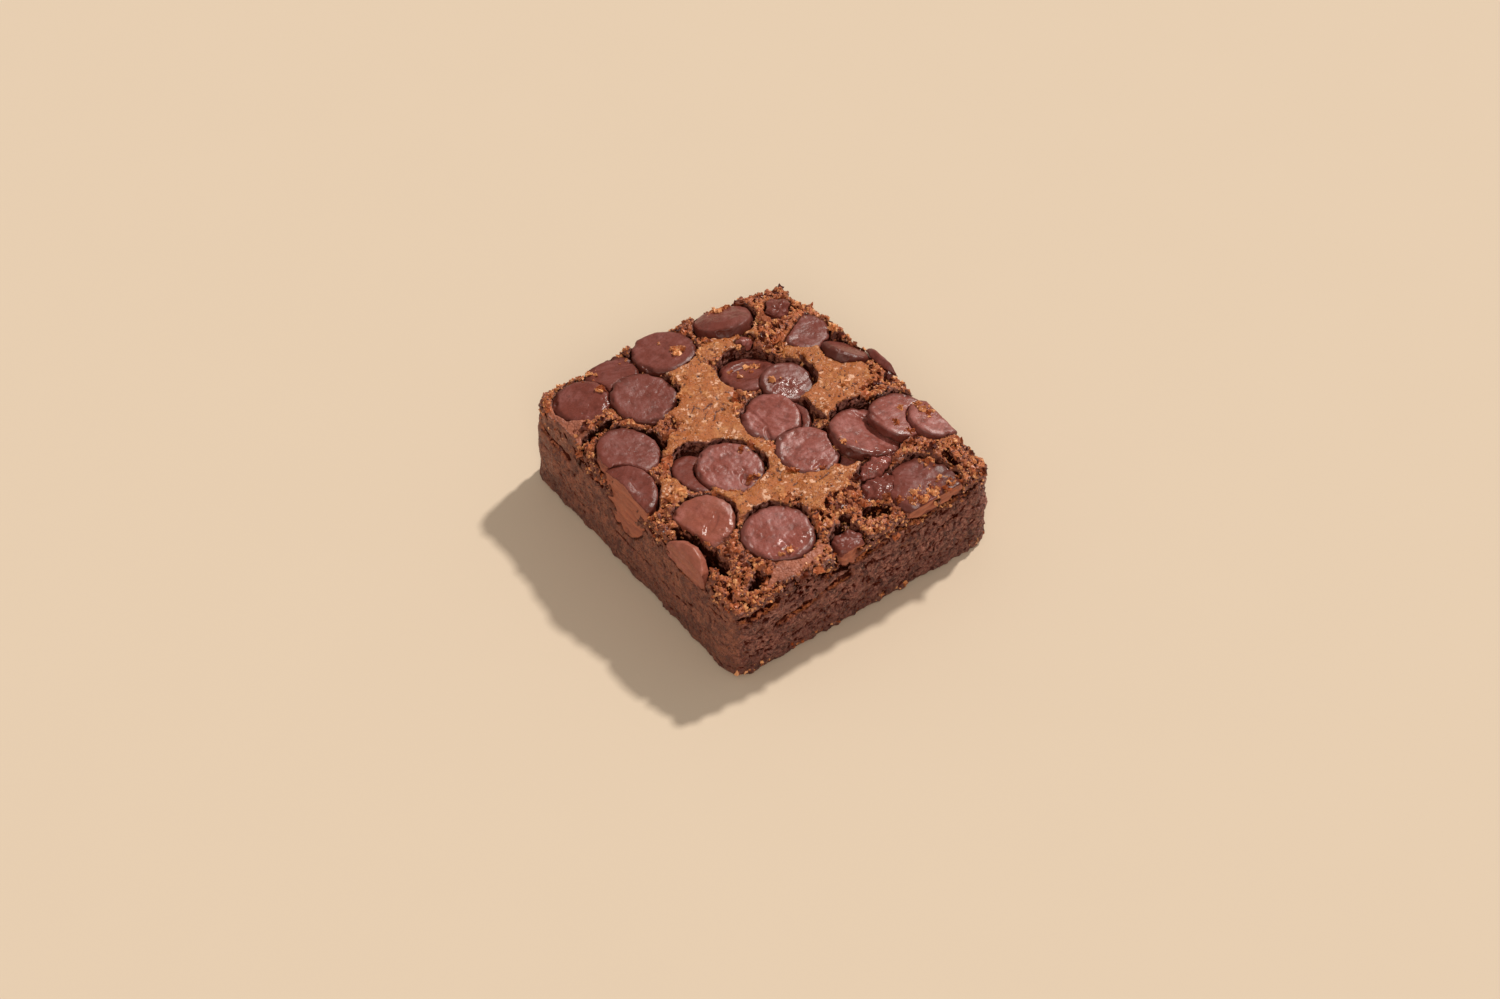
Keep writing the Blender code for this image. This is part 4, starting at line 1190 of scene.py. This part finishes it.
def crumb_tree():
    """Scatters uneven grains over a surface, as densely as its own "spread" value says."""
    tree = bpy.data.node_groups.new("crumb_scatter", "GeometryNodeTree")
    tree_socket(tree, "Surface", "NodeSocketGeometry")
    tree_socket(tree, "Crumbs", "NodeSocketGeometry", direction="OUTPUT")
    tree_socket(tree, "Per Square Metre", "NodeSocketFloat", 100000.0)
    tree_socket(tree, "Smallest", "NodeSocketFloat", 0.3 * MM)
    tree_socket(tree, "Largest", "NodeSocketFloat", 1.2 * MM)
    tree_socket(tree, "Flatness", "NodeSocketFloat", 0.8)
    tree_socket(tree, "Raggedness", "NodeSocketFloat", 0.35)
    tree_socket(tree, "Fineness", "NodeSocketInt", 2)
    tree_socket(tree, "Seed", "NodeSocketInt", 0)
    tree_socket(tree, "Material", "NodeSocketMaterial")
    nodes, links = tree.nodes, tree.links
    start = nodes.new("NodeGroupInput").outputs
    end = nodes.new("NodeGroupOutput").inputs

    spread = nodes.new("GeometryNodeInputNamedAttribute")
    spread.data_type = "FLOAT"
    spread.inputs["Name"].default_value = "spread"
    density = nodes.new("ShaderNodeMath")
    density.operation = "MULTIPLY"
    links.new(spread.outputs["Attribute"], density.inputs[0])
    links.new(start["Per Square Metre"], density.inputs[1])
    scatter = nodes.new("GeometryNodeDistributePointsOnFaces")
    links.new(start["Surface"], scatter.inputs["Mesh"])
    links.new(density.outputs[0], scatter.inputs["Density"])
    links.new(start["Seed"], scatter.inputs["Seed"])

    # many small crumbs and few large ones
    luck = nodes.new("FunctionNodeRandomValue")
    links.new(start["Seed"], luck.inputs["Seed"])
    curve = nodes.new("ShaderNodeMath")
    curve.operation = "POWER"
    links.new(luck.outputs[1], curve.inputs[0])
    curve.inputs[1].default_value = 2.6
    size = nodes.new("ShaderNodeMapRange")
    links.new(curve.outputs[0], size.inputs["Value"])
    links.new(start["Smallest"], size.inputs["To Min"])
    links.new(start["Largest"], size.inputs["To Max"])

    grain = nodes.new("GeometryNodeMeshIcoSphere")
    grain.inputs["Radius"].default_value = 0.5
    links.new(start["Fineness"], grain.inputs["Subdivisions"])
    flat = nodes.new("ShaderNodeCombineXYZ")
    flat.inputs[0].default_value = 1.0
    flat.inputs[1].default_value = 0.8
    links.new(start["Flatness"], flat.inputs[2])
    squash = nodes.new("GeometryNodeTransform")
    links.new(grain.outputs["Mesh"], squash.inputs["Geometry"])
    links.new(flat.outputs[0], squash.inputs["Scale"])

    turn = nodes.new("FunctionNodeRandomValue")
    turn.data_type = "FLOAT_VECTOR"
    turn.inputs["Min"].default_value = (-0.5, -0.5, -math.pi)
    turn.inputs["Max"].default_value = (0.5, 0.5, math.pi)
    links.new(start["Seed"], turn.inputs["Seed"])
    lean = nodes.new("FunctionNodeRotateRotation")
    links.new(scatter.outputs["Rotation"], lean.inputs[0])
    euler = nodes.new("FunctionNodeEulerToRotation")
    links.new(turn.outputs[0], euler.inputs[0])
    lean.rotation_space = "LOCAL"
    links.new(euler.outputs[0], lean.inputs[1])
    place = nodes.new("GeometryNodeInstanceOnPoints")
    links.new(scatter.outputs["Points"], place.inputs["Points"])
    links.new(squash.outputs[0], place.inputs["Instance"])
    links.new(lean.outputs[0], place.inputs["Rotation"])
    links.new(size.outputs[0], place.inputs["Scale"])

    tone = nodes.new("FunctionNodeRandomValue")
    tone.inputs["Seed"].default_value = 3
    last = place.outputs[0]
    for name, value in (("tone", tone.outputs[1]), ("grain_size", size.outputs[0])):
        keep = nodes.new("GeometryNodeStoreNamedAttribute")
        keep.domain = "INSTANCE"
        keep.data_type = "FLOAT"
        keep.inputs["Name"].default_value = name
        links.new(last, keep.inputs["Geometry"])
        links.new(value, keep.inputs["Value"])
        last = keep.outputs[0]
    real = nodes.new("GeometryNodeRealizeInstances")
    links.new(last, real.inputs[0])

    # each grain gets its own uneven shape
    own_size = nodes.new("GeometryNodeInputNamedAttribute")
    own_size.data_type = "FLOAT"
    own_size.inputs["Name"].default_value = "grain_size"
    wobble = nodes.new("ShaderNodeTexNoise")
    wobble.inputs["Scale"].default_value = 1.0 / (0.45 * MM)
    wobble.inputs["Detail"].default_value = 2.0
    centred = nodes.new("ShaderNodeVectorMath")
    centred.operation = "SUBTRACT"
    links.new(wobble.outputs["Color"], centred.inputs[0])
    centred.inputs[1].default_value = (0.5, 0.5, 0.5)
    amount = nodes.new("ShaderNodeMath")
    amount.operation = "MULTIPLY"
    links.new(own_size.outputs["Attribute"], amount.inputs[0])
    links.new(start["Raggedness"], amount.inputs[1])
    shift = nodes.new("ShaderNodeVectorMath")
    shift.operation = "SCALE"
    links.new(centred.outputs[0], shift.inputs[0])
    links.new(amount.outputs[0], shift.inputs["Scale"])
    twice = nodes.new("ShaderNodeVectorMath")
    twice.operation = "SCALE"
    twice.inputs["Scale"].default_value = 2.5
    links.new(shift.outputs[0], twice.inputs[0])
    move = nodes.new("GeometryNodeSetPosition")
    links.new(real.outputs[0], move.inputs["Geometry"])
    links.new(twice.outputs[0], move.inputs["Offset"])
    crisp = nodes.new("GeometryNodeSetShadeSmooth")
    crisp.inputs["Shade Smooth"].default_value = False
    links.new(move.outputs[0], crisp.inputs["Geometry"])
    paint = nodes.new("GeometryNodeSetMaterial")
    links.new(crisp.outputs[0], paint.inputs["Geometry"])
    links.new(start["Material"], paint.inputs["Material"])
    links.new(paint.outputs[0], end["Crumbs"])
    return tree


def scattered(tree, host, spread, values):
    """The mesh of crumbs on a host mesh, whose spread is a number for each of its points."""
    surface = host.copy()
    put_values(surface, "spread", spread)
    obj = new_object("crumb_host", surface)
    modifier = obj.modifiers.new("crumbs", "NODES")
    modifier.node_group = tree
    for item in tree.interface.items_tree:
        if item.in_out == "INPUT" and item.name in values:
            modifier[item.identifier] = values[item.name]
    return applied(obj)


def joined(meshes, name):
    """Several meshes as one."""
    bm = bmesh.new()
    for mesh in meshes:
        bm.from_mesh(mesh)
    whole = bpy.data.meshes.new(name)
    bm.to_mesh(whole)
    bm.free()
    return whole


def sprinkle_share(points):
    """1 where bits of crust lie on the chocolate, 0 elsewhere."""
    share = np.zeros(len(points))
    for x, y, half_x, half_y in SPRINKLES:
        away = np.hypot((points[:, 0] - x * MM) / (half_x * MM), (points[:, 1] - y * MM) / (half_y * MM))
        share = np.maximum(share, ramp(away, 1.1, 0.7))
    return share


def crumb_material(name, low, high, roughness):
    material, tree, shader = new_material(name)
    place = object_place(tree)
    tone = own_value(tree, "tone")
    fine = noise_value(tree, place, 0.4 * MM, 3.0, 0.7)
    share = math_value(tree, "ADD", math_value(tree, "MULTIPLY", tone, 0.6), math_value(tree, "MULTIPLY", fine, 0.5))
    put_input(tree, shader.inputs["Base Color"], mixed_colour(tree, range_value(tree, share, 0.25, 0.75), low, high))
    shader.inputs["Roughness"].default_value = roughness
    put_input(tree, shader.inputs["Normal"], bumped(tree, fine, 0.1 * MM, 0.7))
    return material


# ---------------------------------------------------------------- operators
MADE = {}


class BROWNIE_OT_chocolate(bpy.types.Operator):
    """Softened discs and chunks of chocolate"""
    bl_idname = "brownie.chocolate"
    bl_label = "Chocolate"

    def execute(self, context):
        scene = context.scene
        material = chocolate_material(scene.brownie_colours)
        meshes = []
        for seed, name in enumerate(CHOCOLATE_NODES):
            mesh = softened_chocolate(name, seed + 100, scene.brownie_sizes)
            finish_piece(name.replace("disc_", "chocolate_disc_").replace("chunk_", "chocolate_chunk_"),
                         mesh, material, "chocolate", name)
            meshes.append(mesh)
        MADE["chocolate"] = meshes
        MADE["chocolate_surface"] = surface_tree(meshes)
        MADE["disc_map"] = DiscMap(MADE["chocolate_surface"])
        return {"FINISHED"}


class BROWNIE_OT_slab(bpy.types.Operator):
    """The cake itself in three closed layers: crust, crumb and sole"""
    bl_idname = "brownie.slab"
    bl_label = "Slab"

    def execute(self, context):
        scene = context.scene
        surface = slab_surface(MADE["chocolate_surface"], MADE["disc_map"], scene.brownie_sizes)
        material = cake_material(scene.brownie_colours)
        MADE["slab"] = surface
        levels = (("crust_layer", 23.1 * MM, None), ("crumb_layer", 7.3 * MM, 23.1 * MM), ("sole_layer", None, 7.3 * MM))
        for name, low, high in levels:
            layer = cut_layer(surface, low, high, name)
            print(name, sum(len(face.vertices) - 2 for face in layer.polygons))
            finish_piece(name, layer, material, "crumb", "slab")
        return {"FINISHED"}


class BROWNIE_OT_crumbs(bpy.types.Operator):
    """Loose crumbs on the rim, between the discs and on the chocolate"""
    bl_idname = "brownie.crumbs"
    bl_label = "Crumbs"

    def execute(self, context):
        scene = context.scene
        colours = scene.brownie_colours
        sizes = scene.brownie_sizes
        tree = crumb_tree()
        host = MADE["slab"]
        points = points_of(host)
        normals = normals_of(host)
        rim = np.empty(len(points), dtype=np.float32)
        host.attributes["rim"].data.foreach_get("value", rim)
        gap = np.empty(len(points), dtype=np.float32)
        host.attributes["gap"].data.foreach_get("value", gap)
        open_top = ramp(normals[:, 2], -0.2, 0.3) * ramp(points[:, 2], 18.0 * MM, 21.0 * MM) * ramp(gap, 0.3, 0.7)
        patchy = ramp(rough_noise(points, 5.0 * MM, 401, 3), -0.35, 0.4)
        crust = np.empty(len(points), dtype=np.float32)
        host.attributes["crust"].data.foreach_get("value", crust)
        fudge = np.empty(len(points), dtype=np.float32)
        host.attributes["fudge"].data.foreach_get("value", fudge)
        open_top *= 1.0 - 0.85 * fudge
        dark = crumb_material("dark_crumbs", tuple(colours.dark_crumb_and_shade), tuple(colours.crumb), 0.32)
        bright = crumb_material("toasted_crumbs", tuple(colours.baked), tuple(colours.baked_pale), 0.36)
        values = {"Flatness": 0.7, "Raggedness": 1.0, "Per Square Metre": 2.2e5, "Smallest": 0.6 * MM,
                  "Largest": sizes.crumb_size, "Fineness": 2, "Seed": sizes.seed, "Material": dark}
        crumbs = scattered(tree, host, rim * open_top * patchy, values)
        print("dark crumbs", len(crumbs.polygons))
        finish_piece("rim_crumbs", crumbs, dark, "crumb")
        values.update({"Per Square Metre": 1.9e6, "Smallest": 0.25 * MM, "Largest": 1.0 * MM, "Fineness": 1,
                       "Seed": sizes.seed + 1, "Material": bright})
        crumbs = scattered(tree, host, rim * open_top * (1.3 - patchy), values)
        print("bright crumbs", len(crumbs.polygons))
        finish_piece("toasted_crumbs", crumbs, bright, "crust")

        foot = ramp(points[:, 2], 3.4 * MM, 1.8 * MM) * ramp(points[:, 2], 0.7 * MM, 1.1 * MM)
        foot *= ramp(-points[:, 1], 38.0 * MM, 40.0 * MM)
        foot *= ramp(smooth_noise(points, 9.0 * MM, 411), -0.1, 0.3)
        values.update({"Per Square Metre": 9.0e5, "Smallest": 0.3 * MM, "Largest": 1.1 * MM, "Seed": sizes.seed + 5})
        crumbs = scattered(tree, host, foot, values)
        finish_piece("foot_crumbs", crumbs, bright, "crust")

        border = 4.0 * crust * (1.0 - crust) + 0.06 * crust
        values.update({"Flatness": 0.28, "Per Square Metre": 3.0e5, "Smallest": 0.6 * MM, "Largest": 2.6 * MM,
                       "Fineness": 2, "Seed": sizes.seed + 2})
        flakes = scattered(tree, host, border * open_top, values)
        print("flakes", len(flakes.polygons))
        finish_piece("crust_flakes", flakes, bright, "crust")
        tops = joined(MADE["chocolate"], "chocolate_tops")
        on_discs = sprinkle_share(points_of(tops)) * ramp(normals_of(tops)[:, 2], 0.5, 0.8)
        values.update({"Flatness": 0.4, "Per Square Metre": 9.0e5, "Smallest": 0.4 * MM, "Largest": 2.0 * MM,
                       "Seed": sizes.seed + 3})
        flakes = scattered(tree, tops, on_discs, values)
        print("sprinkles", len(flakes.polygons))
        finish_piece("disc_crumbs", flakes, bright, "crust")
        return {"FINISHED"}


class BROWNIE_OT_stage(bpy.types.Operator):
    """Floor, lights and camera"""
    bl_idname = "brownie.stage"
    bl_label = "Stage"

    def execute(self, context):
        scene = context.scene
        stage = scene.brownie_stage
        mesh = bpy.data.meshes.new("floor")
        bm = bmesh.new()
        bmesh.ops.create_grid(bm, x_segments=4, y_segments=4, size=3.0)
        bm.to_mesh(mesh)
        bm.free()
        floor = new_object("floor", mesh)
        floor.location.z = -0.02 * MM
        material, tree, shader = new_material("floor")
        grain = noise_value(tree, object_place(tree), 40.0 * MM, 2.0)
        put_input(tree, shader.inputs["Base Color"],
                  mixed_colour(tree, range_value(tree, grain, 0.3, 0.7, 0.0, 0.06), tuple(stage.floor), (0.74, 0.60, 0.45, 1.0)))
        shader.inputs["Roughness"].default_value = 0.9
        mesh.materials.append(material)

        lights = (
            ("key", stage.key_strength, stage.key_softness, (1.0, 0.955, 0.89), (0.663, 0.159, 0.731)),
            ("front", stage.front_strength, math.radians(30.0), (1.0, 0.90, 0.78), (-0.45, -0.60, 0.66)),
        )
        for name, strength, softness, colour, source in lights:
            sun = bpy.data.lights.new(name, "SUN")
            sun.energy = strength
            sun.angle = softness
            sun.color = colour
            lamp = new_object(name, sun)
            lamp.matrix_world = Vector(source).to_track_quat("Z", "Y").to_matrix().to_4x4()

        world = bpy.data.worlds.new("room")
        world.use_nodes = True
        world.node_tree.nodes["Background"].inputs["Color"].default_value = (1.0, 0.93, 0.86, 1.0)
        world.node_tree.nodes["Background"].inputs["Strength"].default_value = stage.fill_strength
        scene.world = world
        scene.view_settings.view_transform = "Standard"

        camera = bpy.data.cameras.new("camera")
        camera.lens = 75.0
        camera.sensor_width = 36.0
        target = Vector((-1.10, 2.38, 0.0)) * MM
        back = Vector((-0.4057, -0.5482, 0.7314)).normalized()
        eye = new_object("camera", camera)
        eye.matrix_world = Matrix.Translation(target + back * 0.740) @ back.to_track_quat("Z", "Y").to_matrix().to_4x4()
        scene.camera = eye
        return {"FINISHED"}


class BROWNIE_PT_panel(bpy.types.Panel):
    """Lists the steps that build the brownie"""
    bl_idname = "BROWNIE_PT_panel"
    bl_label = "Chocolate brownie"
    bl_space_type = "VIEW_3D"
    bl_region_type = "UI"
    bl_category = "Brownie"

    def draw(self, context):
        layout = self.layout
        for group in (context.scene.brownie_sizes, context.scene.brownie_colours, context.scene.brownie_stage):
            for name in group.__annotations__:
                layout.prop(group, name)
        for operator in OPERATORS:
            layout.operator(operator.bl_idname)


GROUPS = {"brownie_sizes": BrownieSizes, "brownie_colours": BrownieColours, "brownie_stage": BrownieStage}
OPERATORS = (BROWNIE_OT_chocolate, BROWNIE_OT_slab, BROWNIE_OT_crumbs, BROWNIE_OT_stage)


def register():
    for name, group in GROUPS.items():
        bpy.utils.register_class(group)
        setattr(bpy.types.Scene, name, PointerProperty(type=group))
    for operator in OPERATORS:
        bpy.utils.register_class(operator)
    bpy.utils.register_class(BROWNIE_PT_panel)


def unregister():
    bpy.utils.unregister_class(BROWNIE_PT_panel)
    for operator in reversed(OPERATORS):
        bpy.utils.unregister_class(operator)
    for name, group in GROUPS.items():
        delattr(bpy.types.Scene, name)
        bpy.utils.unregister_class(group)


def main():
    import time
    register()
    for step in ("chocolate", "slab", "crumbs", "stage"):
        began = time.time()
        getattr(bpy.ops.brownie, step)()
        print(step, round(time.time() - began, 1), "s")


if __name__ == "__main__":
    main()
